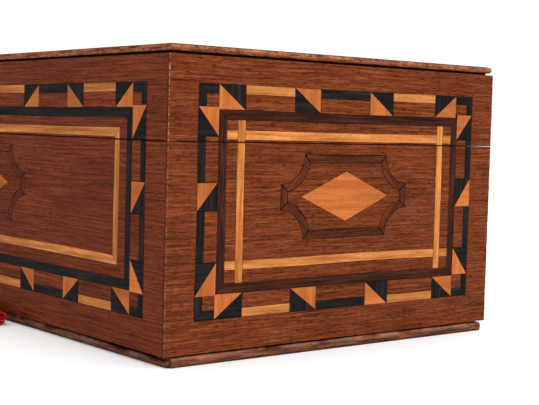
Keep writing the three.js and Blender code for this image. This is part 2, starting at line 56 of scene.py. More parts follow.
ahead = np.array([-np.sin(AZIMUTH) * np.cos(DROP), np.cos(AZIMUTH) * np.cos(DROP), -np.sin(DROP)])
level = np.array([np.cos(AZIMUTH), np.sin(AZIMUTH), 0])
upright = np.cross(level, ahead)
across = np.cos(ROLL) * level + np.sin(ROLL) * upright
upwards = np.cos(ROLL) * upright - np.sin(ROLL) * level
lens = bpy.data.cameras.new("camera")
lens.lens, lens.sensor_width = FOCAL_LENGTH, SENSOR
lens.clip_start, lens.clip_end = 0.02, 30
camera = bpy.data.objects.new("camera", lens)
turned = Matrix(np.array([across, upwards, -ahead]).T).to_4x4()
camera.matrix_world = Matrix.Translation(STANDPOINT) @ turned
bpy.context.collection.objects.link(camera)
bpy.context.scene.camera = camera
bpy.context.scene.view_settings.view_transform = "Standard"

# ---- Cord of the tassel ----
# A laid silk cord, three strands twisted together. It is looped round the end of the key's bow,
# hangs down in front of the lock, and turns along the foot of the box to the tassel's head.
FRONT_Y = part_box("right_wall")[0].y
CORD_DIAMETER = 0.002
CORD_TWIST = 1500  # radians to the metre
# millimetres: across from the key, out from the walls' front, and up from the table
CORD_ROUTE = [
    (0, -30.6, 68.2),
    (0, -30.6, 62),
    (0, -30.5, 54),
    (-0.1, -30.4, 46),
    (-0.3, -30.2, 38),
    (-0.8, -29.8, 30),
    (-1.5, -29.1, 22.5),
    (-2.4, -28, 15.6),
    (-3.6, -26.3, 9.8),
    (-4.9, -23.9, 5.3),
    (-6, -20.8, 2.4),
    (-6.4, -17.2, 1.3),
    (-5.4, -13.9, 1.2),
    (-3.2, -11.4, 1.4),
    (-0.2, -9.9, 2.3),
    (3.2, -9.2, 3.7),
]
SILK_RED = (0.78, 0.002, 0.016)
SILK_DARK = (0.42, 0.001, 0.009)
SILK_SHEEN = (1.0, 0.12, 0.12)
FUZZ = (0.0004, 0.0004, 0.0004)
SHARP = np.radians(40)  # an edge that turns by more than this is shaded as a corner


def circle(sides):
    """Angles evenly round a circle."""
    return np.linspace(0, 2 * np.pi, sides, endpoint=False)


def on_grid(*parts):
    """Arrays that fit one grid, such as x, y and z, side by side as its points."""
    return np.stack(np.broadcast_arrays(*parts), -1)


def distance_along(route):
    """How far each point of a route is from its start: the steps' lengths, summed."""
    return np.concatenate([[0], np.cumsum(np.linalg.norm(np.diff(route, axis=0), axis=1))])


def smooth_route(points, steps=9):
    """A curve through the points: between two of them it is the cubic that leaves and meets them
    in the direction of their neighbours (a Catmull-Rom curve)."""
    p = np.vstack([2 * points[0] - points[1], points, 2 * points[-1] - points[-2]])
    t = np.linspace(0, 1, steps, endpoint=False)[None, :, None]
    a, b, c, d = (p[k : len(p) - 3 + k, None, :] for k in range(4))
    square, cube = 2 * a - 5 * b + 4 * c - d, 3 * b - a - 3 * c + d
    cubic = 0.5 * (2 * b + (c - a) * t + square * t**2 + cube * t**3)
    return np.vstack([cubic.reshape(-1, 3), points[-1]])


def grid_faces(rows, columns, loop_rows=False, loop_columns=True):
    """The quads of a grid of points, row by row, joined into rings where it closes on itself."""
    r = np.arange(rows if loop_rows else rows - 1)[:, None]
    c = np.arange(columns if loop_columns else columns - 1)[None, :]
    r1, c1 = (r + 1) % rows, (c + 1) % columns
    quads = np.stack([r * columns + c, r * columns + c1, r1 * columns + c1, r1 * columns + c], -1)
    return quads.reshape(-1, 4).tolist()


def closed_sheet(points, caps=True, loop_rows=False):
    """A closed solid from a grid of rings (rows, columns, 3): the rings joined by quads, the first
    and last filled. It is turned so that its faces look outwards, by the sign of its volume."""
    rows, columns = points.shape[:2]
    faces = grid_faces(rows, columns, loop_rows)
    if caps and not loop_rows:
        first = list(range(columns))
        faces += [first[::-1], [(rows - 1) * columns + k for k in first]]
    flat = points.reshape(-1, 3)
    middle = flat.mean(0)
    quads = np.array([f for f in faces if len(f) == 4])
    a, b, c, d = (flat[quads[:, k]] - middle for k in range(4))
    volume = np.einsum("ij,ij->i", a, np.cross(b, c) + np.cross(c, d)).sum()
    for f in faces:
        if len(f) != 4:
            fan = flat[f] - middle
            volume += np.einsum("j,ij->i", fan[0], np.cross(fan[1:-1], fan[2:])).sum()
    if volume < 0:
        faces = [f[::-1] for f in faces]
    return flat, faces


def carried(route, section, spin=0.0):
    """A closed section carried along a route: at each point of the route the section, a list of
    (across, up) pairs, stands square to the route and is turned by spin radians per metre."""
    tangent = np.gradient(route, axis=0)
    tangent /= np.linalg.norm(tangent, axis=1)[:, None]
    side = np.cross(tangent, (0.7, -0.7, 0.1))  # a direction that the route never takes
    side /= np.linalg.norm(side, axis=1)[:, None]
    up = np.cross(side, tangent)
    turn = (distance_along(route) * spin)[:, None]
    x = section[None, :, 0] * np.cos(turn) - section[None, :, 1] * np.sin(turn)
    y = section[None, :, 0] * np.sin(turn) + section[None, :, 1] * np.cos(turn)
    return route[:, None] + x[..., None] * side[:, None] + y[..., None] * up[:, None]


def piece(name, points, faces, material, body, slot, smooth=True, **values):
    """A finished piece: the mesh at its place, its material and the body that it rides on; slot is
    not used. Each value is stored per point: "grain" as a UV map, the rest as attributes."""
    mesh = bpy.data.meshes.new(name)
    mesh.from_pydata(np.asarray(points, float).tolist(), [], faces)
    corner = np.zeros(len(mesh.loops), np.int32)
    mesh.loops.foreach_get("vertex_index", corner)
    for key, value in values.items():
        value = np.asarray(value, np.float32)
        if key == "grain":
            mesh.uv_layers.new(name="grain").data.foreach_set("uv", value[corner].ravel())
        else:
            mesh.attributes.new(key, "FLOAT", "POINT").data.foreach_set("value", value)
    mesh.polygons.foreach_set("use_smooth", np.full(len(mesh.polygons), smooth))
    if smooth:
        mesh.set_sharp_from_angle(angle=SHARP)
    mesh.materials.append(material)
    made = bpy.data.objects.new(name, mesh)
    bpy.context.collection.objects.link(made)
    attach(made, body)
    return made


class Nodes:
    """Writes a node material, one short line for each node."""

    def __init__(self, name):
        self.material = bpy.data.materials.new(name)
        self.material.use_nodes = True
        self.tree = self.material.node_tree
        self.shader = self.tree.nodes["Principled BSDF"]

    def add(self, kind, *inputs, **settings):
        node = self.tree.nodes.new("ShaderNode" + kind)
        for key, value in settings.items():
            setattr(node, key, value)
        for socket, value in zip(node.inputs, inputs):
            self.put(socket, value)
        return node

    def noted(self, attribute):
        """A value that the piece stores at each point."""
        return self.add("Attribute", attribute_name=attribute).outputs["Fac"]

    def in_piece(self):
        """The place inside the piece, in metres."""
        return self.add("TexCoord").outputs["Object"]

    def put(self, socket, value):
        """Sets a socket to a number or colour, or joins it to another node's output."""
        if isinstance(value, bpy.types.NodeSocket):
            self.tree.links.new(value, socket)
        elif value is not None:
            if socket.type == "RGBA" and len(value) == 3:
                value = (*value, 1)
            socket.default_value = value

    def maths(self, operation, *inputs):
        return self.add("Math", *inputs, operation=operation).outputs[0]

    def spread(self, value, low, high, to_low, to_high):
        """A value from low to high becomes one from to_low to to_high, and stops there."""
        return self.add("MapRange", value, low, high, to_low, to_high).outputs[0]

    def by_noise(self, noise, to_low, to_high):
        """Noise lies mostly from 0.3 to 0.7: it becomes a value from to_low to to_high."""
        return self.spread(noise, 0.3, 0.7, to_low, to_high)

    def stretched(self, vector, sizes, detail=3.0, roughness=0.55, distortion=0.0):
        """Noise whose spots are as long in each direction as the sizes say, in metres."""
        scaled = self.add("VectorMath", vector, [1 / s for s in sizes], operation="MULTIPLY").outputs[0]
        noise = self.add("TexNoise")
        for key, value in {"Vector": scaled, "Scale": 1.0, "Detail": detail}.items():
            self.put(noise.inputs[key], value)
        noise.inputs["Roughness"].default_value = roughness
        noise.inputs["Distortion"].default_value = distortion
        return noise.outputs[0]

    def blend(self, share, first, second):
        """Two colours mixed by a share of the second."""
        node = self.add("Mix", data_type="RGBA")
        self.put(node.inputs[0], share)
        self.put(node.inputs[6], first)
        self.put(node.inputs[7], second)
        return node.outputs[2]

    def bump(self, height, distance):
        """Makes the surface stand up by height times distance, in metres."""
        node = self.add("Bump")
        node.inputs["Distance"].default_value = distance
        self.put(node.inputs["Height"], height)
        self.put(self.shader.inputs["Normal"], node.outputs[0])

    def set(self, **sockets):
        """Fills the shader's sockets by name."""
        for key, value in sockets.items():
            self.put(self.shader.inputs[key.replace("_", " ")], value)


def silk(name, ply):
    """Dyed silk: the shade changes from thread to thread with its tint. The plies run round at a
    slant, as a sine of ply times the way along plus the way round, and fuzz breaks both up."""
    n = Nodes(name)
    along, round_ = n.add("SeparateXYZ", n.add("UVMap", uv_map="grain").outputs[0]).outputs[:2]
    turned = n.maths("MULTIPLY", round_, 2 * np.pi)
    slant = n.maths("SINE", n.maths("ADD", n.maths("MULTIPLY", along, ply), turned))
    fuzz = n.stretched(n.in_piece(), FUZZ)
    share = n.maths("ADD", n.spread(slant, -1, 1, 0, 0.5), n.maths("MULTIPLY", n.noted("tint"), 0.35))
    share = n.maths("ADD", share, n.by_noise(fuzz, -0.1, 0.35))
    n.set(Base_Color=n.blend(share, SILK_DARK, SILK_RED), Roughness=n.by_noise(fuzz, 0.42, 0.7))
    n.set(Sheen_Weight=0.15, Sheen_Roughness=0.4, Sheen_Tint=SILK_SHEEN, Specular_IOR_Level=0.15)
    n.bump(n.maths("ADD", slant, fuzz), 0.00008)
    return n.material


cord_silk = silk("cord silk", 5200)
route = smooth_route(np.array(CORD_ROUTE) / 1000 + (0, FRONT_Y, 0))
angle = circle(18)
# three strands: the section swells and narrows three times round
strand = CORD_DIAMETER / 2 * (0.86 + 0.14 * np.abs(np.cos(1.5 * angle)))
section = np.stack([strand * np.cos(angle), strand * np.sin(angle)], -1)
points, faces = closed_sheet(carried(route, section, spin=CORD_TWIST))
gone = distance_along(route)
cord_uv = on_grid(gone[:, None], angle / 2 / np.pi).reshape(-1, 2)
cord = piece("tassel_cord_laid", points, faces, cord_silk, "box", "silk", grain=cord_uv)
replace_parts(cord, "tassel_cord")

# ---- Tassel: its wound head and the loop on the key ----
# The head is a wooden mould wound with thread, with a collar at the neck. The loop is the same
# cord, passed round the outermost bar of the bow and whipped where it meets itself.
low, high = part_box("tassel_head")
HEAD_TURNS = 17
NECK_AT, NECK_WIDTH, NECK_DEPTH = 0.82, 0.07, 0.28  # shares of the head's length and radius
THREAD_RELIEF = 0.045
length = high.x - low.x
radius = (high.z - low.z) / 2
share = np.linspace(0.004, 0.996, 7 * HEAD_TURNS)
nip = np.exp(-(((share - NECK_AT) / NECK_WIDTH) ** 2))
swell = np.sin(np.pi * share) ** 0.55 * (1 - NECK_DEPTH * nip)
winding = np.abs(np.sin(np.pi * share * HEAD_TURNS))
wound = (swell * radius * (1 - THREAD_RELIEF + THREAD_RELIEF * winding))[:, None]
turn = circle(36)
middle = (low + high) / 2
rings = on_grid(
    low.x + length * share[:, None],
    middle.y + wound * np.cos(turn),
    middle.z + wound * np.sin(turn),
)
points, faces = closed_sheet(rings)
head_uv = on_grid(share[:, None] * length, turn / 2 / np.pi).reshape(-1, 2)
head = piece("tassel_head_wound", points, faces, cord_silk, "box", "silk", grain=head_uv)
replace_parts(head, "tassel_head")

LOOP_RADIUS = 0.00272
LOOP_TIP, TIP_WIDTH = 0.0017, 0.42  # how far the loop is drawn out towards the cord, over which angle
LOOP_STRAND = 0.9  # the loop is pulled tight, so it is thinner than the cord
BOW_BAR = 0.0015
low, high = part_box("key")
KEY_Y, KEY_Z = frame["joints"][1]["pos_m"][1:]
bow_bar = np.array([0, low.y + BOW_BAR, KEY_Z])
phi = circle(60)
exit_angle = np.arctan2(route[0, 2] - bow_bar[2], route[0, 1] - bow_bar[1])
away = (phi - exit_angle % (2 * np.pi) + np.pi) % (2 * np.pi) - np.pi
reach = LOOP_RADIUS + LOOP_TIP * np.exp(-((away / TIP_WIDTH) ** 2))
outward = on_grid(0, np.cos(phi), np.sin(phi))
loop = bow_bar + reach[:, None] * outward
across_loop = section[None, :, :1] * LOOP_STRAND * np.array([1, 0, 0])
out_of_loop = section[None, :, 1:] * LOOP_STRAND * outward[:, None]
points, faces = closed_sheet(loop[:, None] + across_loop + out_of_loop, caps=False, loop_rows=True)
loop_uv = on_grid(phi[:, None] * LOOP_RADIUS, angle / 2 / np.pi).reshape(-1, 2)
piece("tassel_loop", points, faces, cord_silk, "box", "silk", grain=loop_uv)

# ---- Tassel: the skirt ----
# Loose ends of silk tied under the head. They lie on the table in a flat bundle, each one a
# thread of its own that spreads from its neighbours towards its cut end.
rng = np.random.default_rng(7)
low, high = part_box("tassel_skirt")
THREADS, THREAD_RADIUS, THREAD_STEPS, THREAD_SIDES = 230, 0.00027, 9, 5
CUT_END = 0.55  # a thread's last ring is this much thinner
FLATTENED = (1.18, 0.92)  # the bundle is wider than it is high
SINKS = 0.0007
SWAY = 0.0005
height = high.z - low.z
neck, flare = height * 0.34, height * 0.5
s = np.linspace(0, 1, THREAD_STEPS)[None, :]
start_angle = rng.uniform(0, 2 * np.pi, (THREADS, 1))
out = np.sqrt(rng.uniform(0.02, 1, (THREADS, 1)))
reach = (high.x - low.x) * rng.uniform(0.86, 0.995, (THREADS, 1))
sway = rng.normal(0, SWAY, (2, THREADS, 1))
bends = rng.uniform(1.5, 3.2, (THREADS, 1))
wave = sway * np.sin(np.pi * s * bends) * s
spread = neck + (flare - neck) * s**0.8
middle = (low + high) / 2
x = low.x + reach * s
y = middle.y + FLATTENED[0] * out * spread * np.cos(start_angle) + wave[0]
z = middle.z + FLATTENED[1] * out * spread * np.sin(start_angle) - SINKS * s**2 + wave[1]
y = np.clip(y, low.y + 0.0003, high.y - 0.0003)
z = np.clip(z, low.z + 0.0003, high.z - 0.0003)
turn = circle(THREAD_SIDES)
thick = THREAD_RADIUS * np.where(s < 1, 1, CUT_END)[..., None]
tubes = on_grid(x[..., None], y[..., None] + thick * np.cos(turn), z[..., None] + thick * np.sin(turn))
first = closed_sheet(tubes[0])[1]
count = THREAD_STEPS * THREAD_SIDES
faces = [[k + i * count for k in f] for i in range(THREADS) for f in first]
skirt = piece(
    "tassel_skirt_threads",
    tubes.reshape(-1, 3),
    faces,
    silk("skirt silk", 9000),
    "box",
    "silk",
    grain=on_grid((reach * s)[..., None], turn / 2 / np.pi).reshape(-1, 2),
    tint=np.repeat(rng.uniform(-1, 1, THREADS), count),
)
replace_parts(skirt, "tassel_skirt")

# ---- The woods ----
# Walnut for the ground, blackened pearwood and rosewood for the dark pieces, boxwood for the
# strings and satinwood for the triangles and diamonds, all under one thin worn polish.
# the dark of the glue lines; the same colour is painted into gaps and cracks as shade
GLUE_AND_SHADE = (0.012, 0.006, 0.004)
RUBBED = (0.33, 0.20, 0.15)  # bare wood where the polish has gone
BENDS, BEND_WIDTH = (0.05, 0.022, 0.03), 0.0018  # slow bends of the grain, and how far they reach
FIBRE = (0.011, 0.00062, 0.004)
PATCH = (0.05, 0.02, 0.03)
STREAK_SHARES = (0.36, 0.50, 0.66)  # where the streaks' noise is dark, middling and light
COAT = 0.09


def wood(
    name, dark, middle, light, figure, pores, gloss,
    along=None, worn=RUBBED, silky=0.3, scuff=0.0025,
):
    """Wood by the tones of its streaks, its figure (length and width of the streaks, in metres)
    and its pores (length, width and how dark they are). gloss is the polish's roughness, silky how
    much the fibres differ, and scuff the size of the worn spots, which take the worn colour. The grain
    runs along the UV map's first direction, or along="X" or "Y" of the part itself. Attributes:
    tint is the piece's own shade; the second darkens the glue line round it and also paints shade
    into gaps and cracks; the third marks where an edge is rubbed through, and also a painted
    reflection in the worn colour on the lid board's long sides."""
    n = Nodes(name)
    if along is None:
        where = n.add("UVMap", uv_map="grain").outputs[0]
    else:
        x, y, z = n.add("SeparateXYZ", n.in_piece()).outputs
        where = n.add("CombineXYZ", *((x, y, z) if along == "X" else (y, x, z))).outputs[0]
    tint, seam, wear = (n.noted(attribute) for attribute in ("tint", "seam", "wear"))
    u, v, w = n.add("SeparateXYZ", where).outputs
    bent = n.maths("ADD", v, n.maths("MULTIPLY", n.stretched(where, BENDS, 2), BEND_WIDTH))
    deep = n.maths("ADD", w, n.maths("MULTIPLY", tint, 0.05))
    grain = n.add("CombineXYZ", u, bent, deep).outputs[0]
    streaks = n.stretched(grain, (figure[0], figure[1], figure[1] * 3), 4, 0.6, 0.1)
    fibres = n.stretched(grain, FIBRE, 4, 0.7)
    pits = n.spread(n.stretched(grain, (pores[0], pores[1], 0.003), 2, 0.5), 0.53, 0.64, 0, 1)
    patches = n.stretched(where, PATCH, 3)
    ramp = n.add("ValToRGB", streaks)
    for k, (at, colour) in enumerate(zip(STREAK_SHARES, (dark, middle, light))):
        stop = ramp.color_ramp.elements[k] if k < 2 else ramp.color_ramp.elements.new(at)
        stop.position = at
        stop.color = (*colour, 1)
    shade = n.by_noise(fibres, 1 - silky, 1 + silky)
    shade = n.maths("MULTIPLY", shade, n.spread(pits, 0, 1, 1, 1 - pores[2]))
    shade = n.maths("MULTIPLY", shade, n.by_noise(patches, 0.84, 1.16))
    shade = n.maths("MULTIPLY", shade, n.spread(tint, -1, 1, 0.84, 1.14))
    colour = n.add("VectorMath", ramp.outputs[0], operation="SCALE")
    n.put(colour.inputs["Scale"], shade)
    scuffs = n.stretched(n.in_piece(), (scuff, scuff, scuff), 4, 0.65)
    # rubbed edges, and on the lid board's long sides a painted reflection
    bare_and_reflecting = n.maths("MULTIPLY", wear, n.spread(scuffs, 0.46, 0.6, 0.0, 1))
    # darkened along the glue lines, and painted shade in gaps and cracks
    dark_lined = n.blend(n.maths("MULTIPLY", seam, 0.9), colour.outputs[0], GLUE_AND_SHADE)
    rough = n.maths("ADD", n.by_noise(patches, gloss, gloss + 0.12), n.maths("MULTIPLY", bare_and_reflecting, 0.2))
    n.set(Base_Color=n.blend(bare_and_reflecting, dark_lined, worn), Roughness=rough)
    n.set(Specular_IOR_Level=0.0, Coat_Weight=COAT, Coat_Roughness=gloss)
    relief = n.maths("SUBTRACT", n.maths("MULTIPLY", fibres, 0.35), pits)
    n.bump(n.maths("ADD", relief, n.maths("MULTIPLY", patches, 0.8)), 0.00004)
    return n.material


WALNUT_TONES = ((0.078, 0.0152, 0.0040), (0.128, 0.0278, 0.0076), (0.186, 0.0462, 0.0138))
walnut = wood("walnut", *WALNUT_TONES, (0.028, 0.0010), (0.0036, 0.00042, 0.62), 0.24, silky=0.42)
long_walnut = wood(
    "quiet walnut",
    (0.076, 0.0132, 0.0046),
    (0.122, 0.0235, 0.0076),
    (0.166, 0.0365, 0.0122),
    (0.034, 0.0010),
    (0.0036, 0.00042, 0.45),
    0.26,
    silky=0.32,
)
# its worn colour is also the painted reflection under the ridge on the lid board's long sides
edge_walnut = wood(
    "rubbed and reflecting walnut",
    (0.060, 0.0180, 0.0080),
    (0.200, 0.0570, 0.0205),
    (0.320, 0.1050, 0.0420),
    (0.010, 0.0008),
    (0.0022, 0.00050, 0.6),
    0.30,
    worn=(0.40, 0.20, 0.115),
)
dark_walnut = wood(
    "stained walnut",
    (0.038, 0.0092, 0.0042),
    (0.070, 0.0162, 0.0070),
    (0.106, 0.0264, 0.0106),
    (0.026, 0.0011),
    (0.0036, 0.00036, 0.5),
    0.38,
)
black = wood(
    "blackened pearwood",
    (0.0050, 0.0040, 0.0042),
    (0.0090, 0.0072, 0.0074),
    (0.0190, 0.0150, 0.0145),
    (0.030, 0.0015),
    (0.003, 0.0003, 0.3),
    0.34,
)
brown = wood(
    "rosewood",
    (0.0160, 0.0048, 0.0030),
    (0.0350, 0.0094, 0.0048),
    (0.0640, 0.0182, 0.0090),
    (0.025, 0.0013),
    (0.004, 0.0004, 0.35),
    0.36,
)
boxwood = wood(
    "boxwood",
    (0.300, 0.094, 0.0205),
    (0.420, 0.147, 0.0370),
    (0.530, 0.208, 0.0600),
    (0.040, 0.0022),
    (0.003, 0.0003, 0.22),
    0.36,
    silky=0.2,
)
satinwood = wood(
    "satinwood",
    (0.318, 0.080, 0.0185),
    (0.375, 0.104, 0.0245),
    (0.425, 0.132, 0.0325),
    (0.060, 0.0042),
    (0.003, 0.00035, 0.14),
    0.36,
    silky=0.13,
)
toned_walnut = wood(
    "toned walnut",
    (0.058, 0.0125, 0.0042),
    (0.098, 0.0215, 0.0068),
    (0.145, 0.0360, 0.0115),
    (0.028, 0.0010),
    (0.0036, 0.00042, 0.6),
    0.3,
)
WOODS = {
    "walnut": (walnut, "walnut"),
    "quiet walnut": (long_walnut, "walnut"),
    "toned walnut": (toned_walnut, "walnut"),
    "stained walnut": (dark_walnut, "walnut"),
    "black": (black, "ebony"),
    "brown": (brown, "rosewood"),
    "boxwood": (boxwood, "boxwood"),
    "satinwood": (satinwood, "satinwood"),
}

# ---- Veneer and inlay ----
# The box was glued up closed, veneered all over, inlaid, and then sawn apart under the lid.
# Each face has its own frame: u along the face, v up it, w out of it. The ground stands
# VENEER over the carcass, and each inlaid piece goes down into its pocket.
STANDS_OVER = 0.00035  # the facing of the body stands this much over the walls' rims
WALL_RIM, LID_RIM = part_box("front_wall")[1].z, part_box("lid_front_rail")[0].z
RIM = WALL_RIM + STANDS_OVER
FOOT, LID_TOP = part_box("front_wall")[0].z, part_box("lid_front_rail")[1].z
HALF_WIDTH, HALF_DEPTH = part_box("right_wall")[1].x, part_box("right_wall")[1].y
BOX_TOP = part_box("lid_top_board")[1].z
FIT = 0.00012  # the CAD inlay is this much smaller than its pocket, all round
VENEER = 0.0003
POCKET = -0.0008  # how deep an inlaid piece goes
ON_WALL = -0.0001  # the ground is pressed onto the wall
GLUE_GAP = 0.00005
BEVEL = 0.00009
# the saw cut's wide bevel; the dark laid down it is painted shade in the parting line
PARTING_BEVEL = 0.00042
BAR_GAP = 0.00022  # the cartouche's bars are cut less closely
FACING_EDGE = 0.001
STRIP = 0.0041
BAND, DARK_BAND = 0.0109, 0.0043
STRING_GAP, STRING = 0.0058, 0.0041
STRING_LIFT = 0.0009  # the lid's level string lies this much over the parting
CORNER_STRIP = 0.003
SCOOP, BAR = 0.0135, 0.0041
SAME = 1e-6
OFF_LINE = 0.00011

# The checkered band, piece by piece, in millimetres: lengths along a head or a foot, heights up a
# side. A long face is given from its corner to its middle. ul, ur, ll and lr are squares of two
# triangles, by the corner that the black one fills; light and black are strips.
END_TOP = "corner 10.5,ur 14.4,light 27.8,ll 15.5,black 30.8,ur 15.1,light 29,ul 15.1,corner 12"
END_FOOT = "corner 10.5,lr 14.9,light 27.2,ll 15.6,black 30.8,ur 14.7,light 31.1,ll 14.4,corner 11"
END_NEAR = (
    "corner 19.1 29.4,ul 29.4 43.8,black 43.8 65.7,lr 65.7 78,"
    "black 78 97.7,ll 97.7 110.3,corner 110.3 120.1"
)
END_FAR = (
    "corner 19.1 30.3,ur 30.3 44.3,black 44.3 64.8,ul 64.8 78.8,"
    "black 78.8 98.1,lr 98.1 110.8,corner 110.8 120.1"
)
LONG_TOP = "corner 10.9,ul 14,light 27.7,ur 15,black 27.5,ul 15,light 27.5,ur 13,black 8.1"
LONG_FOOT = "corner 10.9,ll 15.3,light 28.7,lr 14.4,black 28.9,ll 14,light 26.4,lr 13,black 8.1"
LONG_NEAR = (
    "corner 19.1 29.4,ur 29.4 43.8,black 43.8 63.5,lr 63.5 77.5,"
    "black 77.5 95.5,lr 95.5 110.3,corner 110.3 120.1"
)
MIRRORED = {"ul": "ur", "ur": "ul", "ll": "lr", "lr": "ll"}


def spans(text, start, end):
    """Pieces of a run as (kind, from, to): lengths in turn, scaled to fill the run."""
    kinds, lengths = zip(*(item.split() for item in text.split(",")))
    ends = np.concatenate([[0], np.cumsum(np.array(lengths, float))])
    ends = start + (end - start) * ends / ends[-1]
    return list(zip(kinds, ends[:-1], ends[1:]))


def levels(text, mirror=False):
    """Pieces of an upright run as (kind, from, to), by their heights in millimetres."""
    rows = [item.split() for item in text.split(",")]
    return [(MIRRORED.get(k, k) if mirror else k, float(a) / 1000, float(b) / 1000) for k, a, b in rows]


def mirrored(run):
    """A run that was given for its right half, completed by its mirror image on the left."""
    left = [(MIRRORED.get(k, k), -b, -a) for k, a, b in run]
    return left + run[::-1]


def wobble(u, v, seed):
    """How far hand work is off: three slow waves each way, each a sine along the face times a sine
    up it. Up and down they die out towards the parting, so that the cut stays straight."""
    phase = np.random.default_rng(seed).uniform(0, 2 * np.pi, (3, 4))
    du, dv = 0, 0
    for k, (a, b, c, d) in enumerate(phase):
        du = du + OFF_LINE * np.sin(u / 0.017 * (k + 1) * 0.5 + a) * np.sin(v / 0.012 + b)
        dv = dv + OFF_LINE * np.sin(v / 0.015 * (k + 1) * 0.5 + c) * np.sin(u / 0.02 + d)
    parting = np.minimum(np.abs(v - (RIM + LID_RIM) / 2) / 0.012, 1)
    return du, dv * parting


def filled_in(points, step, *others):
    """A closed line of points with extra ones on its long edges, so that it can bend: each edge is
    parted evenly into steps, and the other rows are parted in the same way."""
    after = np.roll(points, -1, axis=0)
    counts = np.maximum(1, np.ceil(np.linalg.norm(after - points, axis=1) / step).astype(int))
    shares = [np.linspace(0, 1, k, endpoint=False)[:, None] for k in counts]
    full = [
        np.vstack([a + (b - a) * t for a, b, t in zip(row, np.roll(row, -1, axis=0), shares)])
        for row in (points, *others)
    ]
    return full if others else full[0]


def drawn_in(outline, distance):
    """The outline moved inwards, each edge by its own distance, the edges then meeting anew."""
    edge = np.roll(outline, -1, axis=0) - outline
    edge /= np.linalg.norm(edge, axis=1)[:, None]
    inward = np.stack([-edge[:, 1], edge[:, 0]], -1)
    before, gap = np.roll(inward, 1, axis=0), np.roll(distance, 1)
    cosine = (inward * before).sum(1)
    straight = (cosine > 0.999)[:, None]
    cosine, gap, distance = cosine[:, None], gap[:, None], distance[:, None]
    move = gap * (before - cosine * inward) + distance * (inward - cosine * before)
    move = move / np.where(straight, 1, 1 - cosine**2)
    return outline + np.where(straight, inward * np.maximum(gap, distance), move)


def joined(solids):
    """Several closed solids as one list of points and faces."""
    starts = np.cumsum([0] + [len(p) for p, _ in solids]).tolist()
    faces = [[k + s for k in f] for (_, fs), s in zip(solids, starts) for f in fs]
    return np.vstack([p for p, _ in solids]), faces


